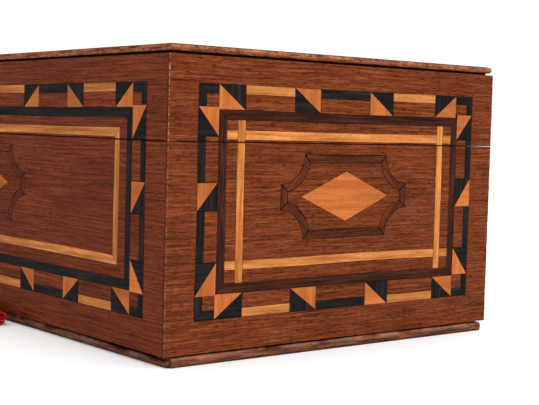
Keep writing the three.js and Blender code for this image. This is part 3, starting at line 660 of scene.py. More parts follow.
class Face:
    """One face of the box while it is laid out: its frame, its half length, where its ground runs
    on into another strip without a joint, and its pieces so far, sorted into trays."""

    def __init__(self, side, origin, u, normal, half, seed, blended=None):
        self.side, self.seed, self.half, self.blended = side, seed, half, blended
        self.origin, self.u, self.normal = (np.array(a, float) for a in (origin, u, normal))
        self.v = np.cross(self.normal, self.u)
        self.rng = np.random.default_rng(seed)
        self.trays = {}

    def place(self, u, v, w):
        """Points of the face's frame in the box's own."""
        return self.origin + u[:, None] * self.u + v[:, None] * self.v + w[:, None] * self.normal

    def lay(self, tray, u, v, w, faces, seam, grain, wear=None):
        """Puts a piece in its tray. The ground keeps the face's own grain, so that it runs through
        from piece to piece; any other piece has a place of its own in the wood."""
        falling, rising = (u - v) / np.sqrt(2), (u + v) / np.sqrt(2)
        ways = {"upright": (v, u), "falling": (falling, rising), "rising": (rising, falling)}
        uv = np.stack(ways.get(grain, (u, v)), -1)
        tint = 0.0
        if grain != "ground":
            uv = uv + self.rng.uniform(0, 2, 2)
            tint = self.rng.uniform(-1, 1)
        wear = np.zeros(len(u)) if wear is None else wear
        laid = (self.place(u, v, w), faces, uv, np.full(len(u), tint), seam, wear)
        self.trays.setdefault(tray, []).append(laid)

    def tile(self, tray, corners, grain, back=POCKET, step=0.004, glue=GLUE_GAP):
        """A flat piece: its outline drawn in by the glue gap for the back and the sides, and a little more
        for the face, so that a fine bevel runs round it. No gap or bevel where the veneer runs on, and a
        wider bevel where the saw parted it or a corner joint has opened. The glue colour runs dark down
        every bevel; down the wide bevels at the parting and the opened joints it is painted shade."""
        outline = filled_in(np.asarray(corners, float), step)
        area = np.cross(outline, np.roll(outline, -1, axis=0)).sum()
        outline = outline if area > 0 else outline[::-1]
        after = np.roll(outline, -1, axis=0)

        def on_line(axis, at):
            return (np.abs(outline[:, axis] - at) < SAME) & (np.abs(after[:, axis] - at) < SAME)

        runs_on = np.zeros(len(outline), bool)
        if self.blended is not None:
            runs_on |= on_line(0, self.blended) | on_line(0, -self.blended)
        facing_edge = self.half - FACING_EDGE
        opened = on_line(0, facing_edge) | on_line(0, -facing_edge)
        sawn = on_line(1, RIM) | on_line(1, LID_RIM)
        gap = np.where(runs_on | sawn, 0, glue)
        bevel = np.where(runs_on, 0, np.where(sawn | opened, PARTING_BEVEL, BEVEL))
        side, face = drawn_in(outline, gap), drawn_in(outline, gap + bevel)
        depth = np.maximum(BEVEL, np.minimum(np.maximum(bevel, np.roll(bevel, 1)), VENEER))
        n = len(outline)
        u, v = np.concatenate([side, side, face]).T
        du, dv = wobble(u, v, self.seed)
        w = np.concatenate([np.full(n, back), VENEER - depth, np.full(n, VENEER)])
        faces = grid_faces(3, n) + [list(range(2 * n, 3 * n)), list(range(n))[::-1]]
        # each edge that does not run on is darkened down its bevel: a glue line, and at the parting and opened joints
        # painted shade
        open_seam = np.where(runs_on | np.roll(runs_on, 1), 0, 1)
        seam = np.concatenate([open_seam, open_seam, np.zeros(n)])
        self.lay(tray, u + du, v + dv, w, faces, seam, grain)

    def ring(self, tray, centre, outer, inner, grain, back=POCKET):
        """A flat piece with a hole: seen from its centre, both edges are a distance worked out for
        each angle, and the piece is the sheet between them."""
        theta = np.unique(np.concatenate([circle(180), outer.corners, inner.corners]))
        theta = theta[np.concatenate([[True], np.diff(theta) > SAME])]
        far, near = outer(theta), inner(theta)
        far_gap = GLUE_GAP if outer.dark_lined else 0
        rows = [
            (far - far_gap, back, outer.dark_lined),
            (far - far_gap, VENEER - BEVEL, outer.dark_lined),
            (far - far_gap - BEVEL * outer.dark_lined, VENEER, 0),
            (near + GLUE_GAP + BEVEL, VENEER, 0),
            (near + GLUE_GAP, VENEER - BEVEL, 1),
            (near + GLUE_GAP, back, 1),
        ]
        n = len(theta)
        radius = np.concatenate([r for r, _, _ in rows])
        u = centre[0] + radius * np.tile(np.cos(theta), 6)
        v = centre[1] + radius * np.tile(np.sin(theta), 6)
        du, dv = wobble(u, v, self.seed)
        w = np.repeat([w for _, w, _ in rows], n)
        seam = np.repeat([float(s) for _, _, s in rows], n)
        self.lay(tray, u + du, v + dv, w, grid_faces(6, n, loop_rows=True), seam, grain)

    def finish(self, tray, name, wood_name, body, *nodes):
        """Joins a tray's pieces into one object."""
        laid = self.trays.pop(tray)
        points, faces = joined([p[:2] for p in laid])
        grain, tint, seam, wear = (np.concatenate([p[k] for p in laid]) for k in (2, 3, 4, 5))
        material, slot = WOODS[wood_name]
        made = piece(
            name, points, faces, material, body, slot,
            smooth=False, grain=grain, tint=tint, seam=seam, wear=wear,
        )
        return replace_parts(made, *nodes) if nodes else made


class Edge:
    """An outline seen from its centre: its distance at each angle, and the angles of its corners."""

    def __init__(self, distance, corners, dark_lined=True):
        self.distance, self.corners, self.dark_lined = distance, np.asarray(corners) % (2 * np.pi), dark_lined

    def __call__(self, theta):
        never_zero = 1e-12
        c, s = np.abs(np.cos(theta)) + never_zero, np.abs(np.sin(theta)) + never_zero
        return self.distance(c, s, theta)


def four(angle):
    """The four places of an angle that is mirrored left to right and top to bottom."""
    return [angle, np.pi - angle, np.pi + angle, -angle]


def rectangle_edge(half_u, above, below, dark_lined=True):
    """A rectangle's edge: the nearer of its side and its head or foot, whichever the angle meets."""

    def reach(c, s, theta):
        return np.minimum(half_u / c, np.where(np.sin(theta) > 0, above, below) / s)

    up, down = np.arctan2(above, half_u), np.arctan2(below, half_u)
    return Edge(reach, [up, np.pi - up, np.pi + down, -down], dark_lined)


def diamond_edge(half_u, half_v):
    """A diamond's edge: one over the sum of cosine over half width and sine over half height."""
    return Edge(lambda c, s, theta: 1 / (c / half_u + s / half_v), [0, np.pi / 2, np.pi, 1.5 * np.pi])


def cartouche_edge(half_u, half_v, scoop, inset=0.0):
    """A rectangle whose corners are hollowed by circles about them: the nearest of the side, the
    head and the circle. inset draws the whole outline inwards."""
    a, b, r = half_u - inset, half_v - inset, scoop + inset

    def reach(c, s, theta):
        towards = half_u * c + half_v * s
        depth = towards**2 - half_u**2 - half_v**2 + r**2
        missed = 9.0
        scooped = np.where(depth > 0, towards - np.sqrt(np.maximum(depth, 0)), missed)
        return np.minimum(np.minimum(a / c, b / s), scooped)

    drop = np.sqrt(r**2 - inset**2)
    return Edge(reach, four(np.arctan2(half_v - drop, a)) + four(np.arctan2(b, half_u - drop)))


def checker(face, run, place, level):
    """A run of the checkered band. place(a, b) puts a point a along the run and b in from its outer
    edge on the face. A square is two triangles; elsewhere an outer strip stands against walnut;
    at a corner a black angle goes round a walnut square."""
    for kind, start, end in run:
        box = [place(start, 0), place(end, 0), place(end, BAND), place(start, BAND)]
        us, vs = sorted({p[0] for p in box}), sorted({p[1] for p in box})
        named = {"l": us[0], "r": us[-1]}, {"l": vs[0], "u": vs[-1]}
        if kind in MIRRORED:
            at = (named[0][kind[1]], named[1][kind[0]])
            opposite = (us[0] + us[-1] - at[0], vs[0] + vs[-1] - at[1])
            others = [(at[0], opposite[1]), (opposite[0], at[1])]
            face.tile(f"black_{level}", [at, *others], face.rng.choice(["level", "upright"]))
            face.tile(f"satinwood_{level}", [opposite, *others], face.rng.choice(["level", "upright"]))
        elif kind != "corner":
            tray = "black" if kind == "black" else "boxwood"
            turned = abs(box[0][0] - box[1][0]) < SAME
            outer = [place(start, 0), place(end, 0), place(end, STRIP), place(start, STRIP)]
            inner = [place(start, STRIP), place(end, STRIP), place(end, BAND), place(start, BAND)]
            face.tile(f"{tray}_{level}", outer, "upright" if turned else "level")
            face.tile(f"ground_{level}", inner, "level")


def corner_angle(face, side_u, side_v, end_u, end_v, level):
    """The black angle at a corner of the band and the walnut square inside it."""
    su, sv = np.sign(end_u - side_u), np.sign(end_v - side_v)
    in_u, in_v = side_u + su * STRIP, side_v + sv * STRIP
    angle_v = [(side_u, side_v), (in_u, in_v), (in_u, end_v), (side_u, end_v)]
    angle_u = [(side_u, side_v), (end_u, side_v), (end_u, in_v), (in_u, in_v)]
    face.tile(f"black_{level}", angle_v, "upright")
    face.tile(f"black_{level}", angle_u, "level")
    face.tile(f"ground_{level}", [(in_u, in_v), (end_u, in_v), (end_u, end_v), (in_u, end_v)], "level")


def corner_angles(face, side_u, foot, head, rows, sides, levels_down_up):
    """A face's four corner angles. They end where the corner pieces of its head and foot rows and
    of its sides end."""
    for s, side in zip((-1, 1), sides):
        ends = ((foot, rows[1], side[0][2]), (head, rows[0], side[-1][1]))
        for level, (edge_v, row, end_v) in zip(levels_down_up, ends):
            end_u = row[0][2] if s < 0 else row[-1][1]
            corner_angle(face, s * side_u, edge_v, end_u, end_v, level)


def ways_in(side_u, foot, head):
    """How a run is laid along the head, the foot, the left and the right of a face: each way puts
    a point a along the run and b in from its outer edge."""
    return (
        lambda a, b: (a, head - b),
        lambda a, b: (a, foot + b),
        lambda a, b: (b - side_u, a),
        lambda a, b: (side_u - b, a),
    )


def from_middle(text, half):
    """A long face's row, given from the corner to the middle, laid out on both halves."""
    return mirrored([(kind, half - b, half - a) for kind, a, b in spans(text, 0, half)])


def rectangle(u0, u1, v0, v1):
    """A rectangle's corners."""
    return [(u0, v0), (u1, v0), (u1, v1), (u0, v1)]


def three_sides(outer, inner, open_v, closed_v, inner_v):
    """A band round three sides, mitred at its two corners: both legs and the piece between."""
    legs = [
        [(s * outer, open_v), (s * outer, closed_v), (s * inner, inner_v), (s * inner, open_v)] for s in (
            -1, 1
        )
    ]
    return legs, [(-outer, closed_v), (outer, closed_v), (inner, inner_v), (-inner, inner_v)]


def lay_three(face, tray, sides):
    """A band's two legs and the piece between, the grain along each."""
    legs, between = sides
    for leg in legs:
        face.tile(tray, leg, "upright")
    face.tile(tray, between, "level")


def cartouche_bars(face, rise, half_u, half_v):
    """The cartouche's eight pieces: four straight bars, and four bent ones round its hollows."""
    reach = SCOOP + BAR
    drop = np.sqrt(reach**2 - BAR**2)
    sweep = np.linspace(0, np.pi / 2, 13)
    first = np.arcsin(BAR / reach)
    inner = np.linspace(first, np.pi / 2 - first, 13)[::-1]
    side = [(half_u, half_v - SCOOP), (half_u - BAR, half_v - drop)]
    side = side + [(u, -v) for u, v in side[::-1]]
    head = [(half_u - SCOOP, half_v), (half_u - drop, half_v - BAR)]
    head = head + [(-u, v) for u, v in head[::-1]]
    bent = [(half_u - SCOOP * np.sin(a), half_v - SCOOP * np.cos(a)) for a in sweep]
    bent = bent + [(half_u - reach * np.sin(a), half_v - reach * np.cos(a)) for a in inner]
    shapes = {"upright": side, "level": head, "falling": bent, "rising": bent}

    def lay_bar(s, t, grain):
        shape = [(s * u, rise + t * v) for u, v in shapes[grain]]
        face.tile("cartouche", shape, grain, step=1.0 if shapes[grain] is bent else 0.004, glue=BAR_GAP)

    for s in (-1, 1):
        lay_bar(s, 1, "upright")
        lay_bar(1, s, "level")
        for t in (-1, 1):
            lay_bar(s, t, "falling" if s == t else "rising")


def lay_middle(face, tray, outline, rise, cartouche, diamond):
    """What lies inside the strings: the ground up to the cartouche, its bars, and the ground up to
    the diamond."""
    centre = (0, rise)
    face.ring(tray, centre, outline, cartouche_edge(*cartouche, SCOOP), "ground", back=ON_WALL)
    cartouche_bars(face, rise, *cartouche)
    hollow = cartouche_edge(*cartouche, SCOOP, BAR)
    face.ring(tray, centre, hollow, diamond_edge(*diamond), "ground", back=ON_WALL)


def centre_of(node, axis):
    """An inlay's pocket, from its CAD node: its middle along and up, and its half sizes."""
    low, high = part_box(node)
    middle, half = (low + high) / 2, (high - low) / 2
    return middle[axis], middle.z, half[axis] + FIT, half.z + FIT


KEYHOLE_RADIUS, KEYHOLE_SLOT, KEYHOLE_FOOT = 0.0027, 0.0012, 0.008
LINER_SEAT = 0.0008  # how much wider the hole in the diamond is, for the liner


def keyhole_edge(grow):
    """The keyhole seen from the key's axis: a round hole with a slot running down from it."""
    radius, half, reach_down = KEYHOLE_RADIUS + grow, KEYHOLE_SLOT + grow, KEYHOLE_FOOT + grow
    mouth = np.arcsin(half / radius)

    def reach(c, s, theta):
        down = np.sin(theta) < 0
        slot = np.where(down & (c / s < np.tan(mouth)), np.minimum(half / c, reach_down / s), radius)
        return np.maximum(slot, radius * np.ones_like(theta))

    foot = np.arctan2(half, reach_down)
    return Edge(reach, [1.5 * np.pi + k for k in (-mouth, -foot, foot, mouth)])


def lay_lower(face, long, axis):
    """The body's part of a face."""
    _, _, border, _ = centre_of(f"{face.side}_border_lower", axis)
    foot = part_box(f"{face.side}_border_lower")[0].z - FIT
    field, field_foot = border - BAND - DARK_BAND, foot + BAND + DARK_BAND
    string, string_foot = field - STRING_GAP, field_foot + STRING_GAP
    inside, string_top = string - STRING, string_foot + STRING
    side = face.half - FACING_EDGE if long else face.half - CORNER_STRIP
    margin = [(-side, RIM), (-side, FOOT), (side, FOOT), (side, RIM)]
    margin += [(border, RIM), (border, foot), (-border, foot), (-border, RIM)]
    face.tile("ground_lower", margin, "ground", back=ON_WALL)
    lay_three(face, "band_lower", three_sides(border - BAND, field, RIM, foot + BAND, field_foot))
    if long:
        lay_three(face, "strings_lower", three_sides(string, inside, RIM, string_foot, string_top))
        gap_legs, gap_base = three_sides(field, string, RIM, field_foot, string_foot)
        for shape in (*gap_legs, gap_base):
            face.tile("ground_lower", shape, "level", back=ON_WALL)
    else:
        for s in (-1, 1):
            u0, u1 = sorted((s * string, s * inside))
            e0, e1 = sorted((s * field, s * string))
            face.tile("strings_lower", rectangle(u0, u1, field_foot, RIM), "upright")
            face.tile("strings_lower", rectangle(e0, e1, string_foot, string_top), "level")
            for v0, v1 in ((field_foot, string_foot), (string_top, RIM)):
                face.tile("ground_lower", rectangle(e0, e1, v0, v1), "ground", back=ON_WALL)
        face.tile("strings_lower", rectangle(-inside, inside, string_foot, string_top), "level")
        under = rectangle(-inside, inside, field_foot, string_foot)
        face.tile("ground_lower", under, "ground", back=ON_WALL)
    _, rise, *cartouche = centre_of(f"{face.side}_cartouche", axis)
    _, _, tip_u, tip_v = centre_of(f"{face.side}_diamond", axis)
    outline = rectangle_edge(inside, RIM - rise, rise - string_top)
    lay_middle(face, "ground_lower", outline, rise, cartouche, (tip_u, tip_v))
    if face.side == "front":
        seat = keyhole_edge(LINER_SEAT)
        face.ring("diamond", (0, rise), diamond_edge(tip_u, tip_v), seat, "level")
    else:
        tips = [(tip_u, rise), (0, rise + tip_v), (-tip_u, rise), (0, rise - tip_v)]
        face.tile("diamond", tips, "level")
    return border, foot


def lay_upper(face, long, axis):
    """The lid's part of a face."""
    _, _, border, _ = centre_of(f"{face.side}_border_upper", axis)
    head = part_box(f"{face.side}_border_upper")[1].z + FIT
    field, field_head = border - BAND - DARK_BAND, head - BAND - DARK_BAND
    string_foot = LID_RIM + STRING_LIFT
    string_top = string_foot + STRING
    string, inside = field - STRING_GAP, field - STRING_GAP - STRING
    side = face.half - FACING_EDGE if long else face.half - CORNER_STRIP
    margin = [(-side, LID_RIM), (-border, LID_RIM), (-border, head), (border, head)]
    margin += [(border, LID_RIM), (side, LID_RIM), (side, LID_TOP), (-side, LID_TOP)]
    face.tile("ground_upper", margin, "ground", back=ON_WALL)
    band = three_sides(border - BAND, field, LID_RIM, head - BAND, field_head)
    lay_three(face, "band_upper", band)
    if long:
        strings = three_sides(string, inside, LID_RIM, string_top, string_foot)
        lay_three(face, "strings_upper", strings)
        gap_legs, gap_top = three_sides(field, string, LID_RIM, field_head, string_top)
        for leg in gap_legs:
            face.tile("ground_upper", leg, "level", back=ON_WALL)
        for shape in (gap_top, rectangle(-inside, inside, LID_RIM, string_foot)):
            face.tile("ground_upper", shape, "ground", back=ON_WALL)
    else:
        for s in (-1, 1):
            u0, u1 = sorted((s * string, s * inside))
            face.tile("strings_upper", rectangle(u0, u1, LID_RIM, field_head), "upright")
        for u0, u1 in ((-field, -string), (-inside, inside), (string, field)):
            face.tile("strings_upper", rectangle(u0, u1, string_foot, string_top), "level")
            for v0, v1 in ((LID_RIM, string_foot), (string_top, field_head)):
                face.tile("ground_upper", rectangle(u0, u1, v0, v1), "ground", back=ON_WALL)
    return head


def lay_checkers(face, long, border, foot, head):
    """The checkered band of a face: its head and foot, and both sides, cut at the parting."""
    sliver = 0.0001
    top, base, left, right = ways_in(border, foot, head)
    if long:
        rows = [from_middle(text, border) for text in (LONG_TOP, LONG_FOOT)]
        sides = [levels(LONG_NEAR, mirror=True), levels(LONG_NEAR)]
    else:
        rows = [spans(text, -border, border) for text in (END_TOP, END_FOOT)]
        sides = [levels(END_NEAR), levels(END_FAR)]
    checker(face, rows[0], top, "upper")
    checker(face, rows[1], base, "lower")
    for place, run in ((left, sides[0]), (right, sides[1])):
        for kind, a, b in run:
            if b > LID_RIM + sliver:
                checker(face, [(kind, max(a, LID_RIM), b)], place, "upper")
            if a < RIM - sliver:
                checker(face, [(kind, a, min(b, RIM))], place, "lower")
    corner_angles(face, border, foot, head, rows, sides, ("lower", "upper"))


def corner_posts(face, level, low, high):
    """The worn upright edges of an end face: a strip of the facing that turns the corner. Its plan
    is carried up the edge, and the rounding changes on the way, more where it was knocked."""
    height = np.linspace(low, high, 60)
    plan_wear = np.array([0, 0, 0, 0.3, 1, 1, 0.4, 0, 0, 0, 0, 0]) * (1.0 if level == "upper" else 0.5)
    # the last points, the post's inner side within the opened joint, take painted shade
    plan_gap_shade = np.array([0, 0, 0, 0, 0, 0, 0, 0, 0.6, 1, 1, 1])
    start, edge, back = face.half - CORNER_STRIP, face.half + VENEER, face.half - 0.0004
    for s in (-1, 1):
        knocks = sum(np.sin(height * f + face.rng.uniform(0, 6)) for f in (210, 520, 1130, 2300))
        round_ = PARTING_BEVEL + 0.00016 * np.clip(knocks * 0.5, -1, 1.8)
        turned = [(round_ * np.cos(a), round_ * np.sin(a)) for a in np.linspace(np.pi / 2, 0, 6)]
        corner_u, corner_w = zip(*((edge - round_ + c, VENEER - round_ + d) for c, d in turned))
        u = s * on_grid(start, start, *corner_u, edge, edge - BEVEL, back, back)
        w = on_grid(ON_WALL, VENEER, *corner_w, BEVEL - FACING_EDGE, -FACING_EDGE, -FACING_EDGE, ON_WALL)
        flat, faces = closed_sheet(on_grid(u, height[:, None], w))
        rows = len(height)
        face.lay(
            f"ground_{level}", *flat.T, faces, np.tile(plan_gap_shade, rows), "ground", np.tile(plan_wear, rows)
        )


FACES = [
    Face("front", (0, -HALF_DEPTH, 0), (1, 0, 0), (0, -1, 0), HALF_WIDTH, 11),
    Face("right", (HALF_WIDTH, 0, 0), (0, 1, 0), (1, 0, 0), HALF_DEPTH, 12, HALF_DEPTH - CORNER_STRIP),
    Face("back", (0, HALF_DEPTH, 0), (-1, 0, 0), (0, 1, 0), HALF_WIDTH, 13),
    Face("left", (-HALF_WIDTH, 0, 0), (0, -1, 0), (-1, 0, 0), HALF_DEPTH, 14, HALF_DEPTH - CORNER_STRIP),
]
for face in FACES:
    side = face.side
    long = side in ("front", "back")
    axis = 0 if long else 1
    border, foot = lay_lower(face, long, axis)
    head_v = lay_upper(face, long, axis)
    lay_checkers(face, long, border, foot, head_v)
    if not long:
        corner_posts(face, "lower", FOOT, RIM)
        corner_posts(face, "upper", LID_RIM, LID_TOP)
    ground = "quiet walnut" if long else "walnut"
    band = "black" if long else "brown"
    bars = "toned walnut" if long else "stained walnut"
    for level, body in (("lower", "box"), ("upper", "lid")):
        face.finish(f"ground_{level}", f"{side}_walnut_veneer_{level}", ground, body)
        face.finish(f"black_{level}", f"{side}_black_pieces_{level}", "black", body, f"{side}_border_{level}")
        face.finish(f"satinwood_{level}", f"{side}_triangles_{level}", "satinwood", body)
        if f"boxwood_{level}" in face.trays:
            face.finish(f"boxwood_{level}", f"{side}_light_strips_{level}", "boxwood", body)
        face.finish(f"band_{level}", f"{side}_dark_band_{level}", band, body)
        face.finish(
            f"strings_{level}", f"{side}_stringing_{level}", "boxwood", body, f"{side}_string_{level}"
        )
    face.finish("cartouche", f"{side}_cartouche_bars", bars, "box", f"{side}_cartouche")
    face.finish("diamond", f"{side}_diamond_veneer", "satinwood", "box", f"{side}_diamond")

# ---- Lid board ----
# One board over the whole lid, its edge rounded over, rubbed pale over the ridge on the short sides
# and painted with a pale reflection under it on the long ones, a painted shadow in the gap under the
# board, and the same banding, stringing, cartouche and diamond let into its top.
low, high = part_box("lid_top_board")
BOARD_EDGE = 0.0019
CORNER_ROUND = 0.0012
BOARD_GAP = 0.0009
NOSE_POWER = 2.3
UNDER_BOARD, GROOVE_BACK = 0.012, (0.0042, 0.0040)
KNOCKED = 0.00012
NOSE_HEIGHT, NOSE_SPREAD = 0.0022, 0.0014


def round_rectangle(half_x, half_y, radius, step=0.003):
    """Points round a rectangle with round corners, with the way out at each one: a quarter circle
    at each corner, and straight runs between."""
    turn = np.linspace(0, np.pi / 2, 7)
    points, outs = [], []
    for k, (sx, sy) in enumerate([(1, 1), (-1, 1), (-1, -1), (1, -1)]):
        out = np.stack([np.cos(turn + k * np.pi / 2), np.sin(turn + k * np.pi / 2)], -1)
        points.append(np.array([sx * (half_x - radius), sy * (half_y - radius)]) + radius * out)
        outs.append(out)
    return filled_in(np.vstack(points), step, np.vstack(outs))


def board_profile(thickness, reach_in):
    """The rounded edge as (inwards, up, angle): a superellipse of NOSE_POWER round the nose, over
    the gap that stands open under the board."""
    a = np.linspace(-np.pi / 2, np.pi / 2, 15)
    x = reach_in * (1 - np.abs(np.cos(a)) ** (2 / NOSE_POWER))
    half = (thickness - BOARD_GAP) / 2
    z = BOARD_GAP + half * (1 + np.sign(np.sin(a)) * np.abs(np.sin(a)) ** (2 / NOSE_POWER))
    return x, z, a


ring, ways = round_rectangle(high.x, high.y, CORNER_ROUND)
inwards, up, slope = board_profile(high.z - low.z, BOARD_EDGE)
inwards = np.concatenate([[UNDER_BOARD, *GROOVE_BACK], inwards, [UNDER_BOARD]])
up = np.concatenate([[0, 0, BOARD_GAP], up, [high.z - low.z]])
slope = np.concatenate([[-3, -3, -3], slope, [3]])
# on the long sides a painted reflection of the table lies under the ridge; on the short ones the polish has gone over
# it
on_long = ways[:, 1] ** 2
wear = 0.6 * np.clip(np.cos(slope + 0.6), 0, 1)[:, None] ** 8 * on_long
wear = wear + 0.35 * np.clip(np.cos(slope - 0.6), 0, 1)[:, None] ** 4 * (1 - on_long)
# painted shadow: the rows in the gap under the board are laid dark
painted_groove_shadow = np.where(up < 1.25 * BOARD_GAP, 1.0, 0.0)
waves = np.sin(ring[:, 0] * 310) + np.sin(ring[:, 1] * 450 + 1) + np.sin(ring.sum(1) * 900)
knocked = KNOCKED * np.clip(waves, 0, 2)
nose = np.exp(-(((up - NOSE_HEIGHT) / NOSE_SPREAD) ** 2))
plan = ring[None] - ways[None] * (inwards[:, None, None] + (knocked[None, :] * nose[:, None])[..., None])
points, faces = closed_sheet(on_grid(plan[..., 0], plan[..., 1], low.z + up[:, None]))
round_board = (ring * np.abs(ways[:, ::-1])).sum(1)
lid_board = piece(
    "lid_board_rounded",
    points,
    faces,
    edge_walnut,
    "lid",
    "walnut",
    grain=on_grid(round_board, (up - inwards)[:, None]).reshape(-1, 2),
    tint=np.full(len(points), 0.2),
    seam=np.repeat(painted_groove_shadow, len(ring)),
    wear=wear.ravel(),
)
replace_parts(lid_board, "lid_top_board")


def four_sides(half_u, half_v, width):
    """A band round a rectangle, mitred at its corners: (outline, the way of its grain)."""
    u, v, iu, iv = half_u, half_v, half_u - width, half_v - width
    level = [[(-u, s * v), (u, s * v), (iu, s * iv), (-iu, s * iv)] for s in (-1, 1)]
    stands = [[(s * u, -v), (s * u, v), (s * iu, iv), (s * iu, -iv)] for s in (-1, 1)]
    return [(shape, "level") for shape in level] + [(shape, "upright") for shape in stands]


def half_sizes(node):
    """Half the length and half the breadth of an inlay's pocket in the top."""
    _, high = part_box(node)
    return high.x + FIT, high.y + FIT


top = Face("top", (0, 0, BOX_TOP), (1, 0, 0), (0, 0, 1), HALF_WIDTH, 15)
border_u, border_v = half_sizes("top_border")
edge_u, edge_v = HALF_WIDTH - BOARD_EDGE, HALF_DEPTH - BOARD_EDGE
board_edge = rectangle_edge(edge_u, edge_v, edge_v, dark_lined=False)
border_edge = rectangle_edge(border_u, border_v, border_v)
top.ring("ground", (0, 0), board_edge, border_edge, "ground", back=ON_WALL)
rows = [from_middle(text, border_u) for text in (LONG_TOP, LONG_FOOT)]
sides = [spans(text, -border_v, border_v) for text in (END_TOP, END_FOOT)]
for place, run in zip(ways_in(border_u, -border_v, border_v), (*rows, *sides)):
    checker(top, run, place, "top")
corner_angles(top, border_u, -border_v, border_v, rows, sides, ("top", "top"))
top.trays["ground"] += top.trays.pop("ground_top")
u, v = border_u - BAND, border_v - BAND
bands = (("band", DARK_BAND, POCKET), ("ground", STRING_GAP, ON_WALL), ("strings", STRING, POCKET))
for tray, width, back in bands:
    for shape, grain in four_sides(u, v, width):
        top.tile(tray, shape, grain, back=back)
    u, v = u - width, v - width
tip_u, tip_v = half_sizes("top_diamond")
lay_middle(top, "ground", rectangle_edge(u, v, v), 0, half_sizes("top_cartouche"), (tip_u, tip_v))
top.tile("diamond", [(tip_u, 0), (0, tip_v), (-tip_u, 0), (0, -tip_v)], "level")
top.finish("ground", "top_walnut_veneer", "walnut", "lid")
top.finish("black_top", "top_black_pieces", "black", "lid", "top_border")
top.finish("satinwood_top", "top_triangles", "satinwood", "lid")
top.finish("boxwood_top", "top_light_strips", "boxwood", "lid")
top.finish("band", "top_dark_band", "black", "lid")
top.finish("strings", "top_stringing", "boxwood", "lid", "top_string")
top.finish("cartouche", "top_cartouche_bars", "stained walnut", "lid", "top_cartouche")
top.finish("diamond", "top_diamond_veneer", "satinwood", "lid", "top_diamond")

# ---- Base mouldings ----
# Four rounded strips under the walls. They have shrunk and worked loose a little, so a crack stands
# open over them, darkened with painted shade, and at the corners the end strips have drawn away.
# Painted shadow also lies along their foot and on their ends in the mitre gaps.
moulding_wood = wood(
    "worn walnut",
    (0.048, 0.0170, 0.0085),
    (0.125, 0.0400, 0.0180),
    (0.225, 0.0850, 0.0400),
    (0.016, 0.0012),
    (0.0030, 0.00050, 0.5),
    0.42,
    worn=(0.30, 0.165, 0.125),
    scuff=0.02,
)
CRACK = 0.0015
END_CRACK = 0.0007
MITRE_GAP = 0.0005
# how far the painted shade of a strip's end face reaches along it
SHADED_END = 0.0004


def moulding(side, outer, thickness, start, end, axis, sign, crack):
    """A rounded strip: its profile, up the nose and then back over a low step that leaves the
    crack open, is carried along the wall from start to end."""
    along = np.linspace(start + SHADED_END, end - SHADED_END, int((end - start) / 0.002))
    along = np.concatenate([[start], along, [end]])[:, None]
    rows = len(along)
    phase = FACES[0].rng.uniform(0, 6, 5)
    drift = sum(np.sin(along * f + p) for f, p in zip((17, 43, 97, 230, 610), phase)) / 5
    sag = np.clip(along / end, 0, 1) ** 2 if side == "front" else 0.3
    open_by = crack * np.clip(0.55 + 0.35 * drift + 0.75 * sag, 0.3, 1.8)
    nose = np.linspace(-np.pi / 2, np.pi / 2, 11)[None, :]
    reach_in = 0.0015
    inwards = reach_in * (1 - np.cos(nose) ** 0.8)
    top_z = thickness - open_by
    z = top_z / 2 * (1 + np.sign(nose) * np.abs(np.sin(nose)) ** 0.8)
    inwards = np.concatenate(
        [np.full((rows, 1), 0.0118), inwards + 0.00012 * drift, np.full((rows, 3), 1.0)], 1
    )
    inwards[:, -3:] = (0.0042, 0.0045, 0.0118)
    z = np.concatenate([np.zeros((rows, 1)), z, top_z, np.full((rows, 2), thickness)], 1)
    sharpness, rubbed = (3, 0.75) if axis == "x" else (12, 0.5)
    wear = np.concatenate([[0], np.clip(np.cos(nose[0] - 0.75), 0, 1) ** sharpness * rubbed, [0, 0, 0]])
    # painted shade: the lowest points of the profile are a contact shadow along the foot, the last ones shade in the
    # crack
    dark = np.concatenate([[1, 1, 1, 1, 0.6], np.zeros(len(wear) - 9), [1, 1, 1, 1]])
    seam = np.tile(dark, (rows, 1))
    # painted shade on the end faces, so that the mitre gaps show a dark line
    seam[[0, -1]] = 1 if axis == "x" else 0.4
    out = sign * (outer - inwards)
    coordinates = (along + 0 * out, out) if axis == "x" else (out, along + 0 * out)
    points, faces = closed_sheet(np.stack([*coordinates, z], -1))
    made = piece(
        f"base_strip_{side}",
        points,
        faces,
        moulding_wood,
        "box",
        "walnut",
        grain=np.stack([(along + 0 * out).ravel(), (z - inwards).ravel() + 0.05 * len(side)], -1),
        tint=np.full(points.shape[0], {"front": -0.3, "right": 0.3}.get(side, 0)),
        seam=seam.ravel(),
        wear=np.tile(wear, rows),
    )
    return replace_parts(made, f"base_moulding_{side}")


low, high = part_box("base_moulding_front")
_, right_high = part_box("base_moulding_right")
THICK = high.z - low.z
END_REACH = right_high.x
CORNER_X = HALF_WIDTH - 0.0012
STRIP_BACK = -low.y - 0.0013
for side, sign in (("front", -1), ("back", 1)):
    moulding(side, -low.y, THICK, -CORNER_X, CORNER_X, "x", sign, CRACK)
for side, sign in (("right", 1), ("left", -1)):
    moulding(side, END_REACH, THICK, -(STRIP_BACK - MITRE_GAP), STRIP_BACK - MITRE_GAP, "y", sign, END_CRACK)

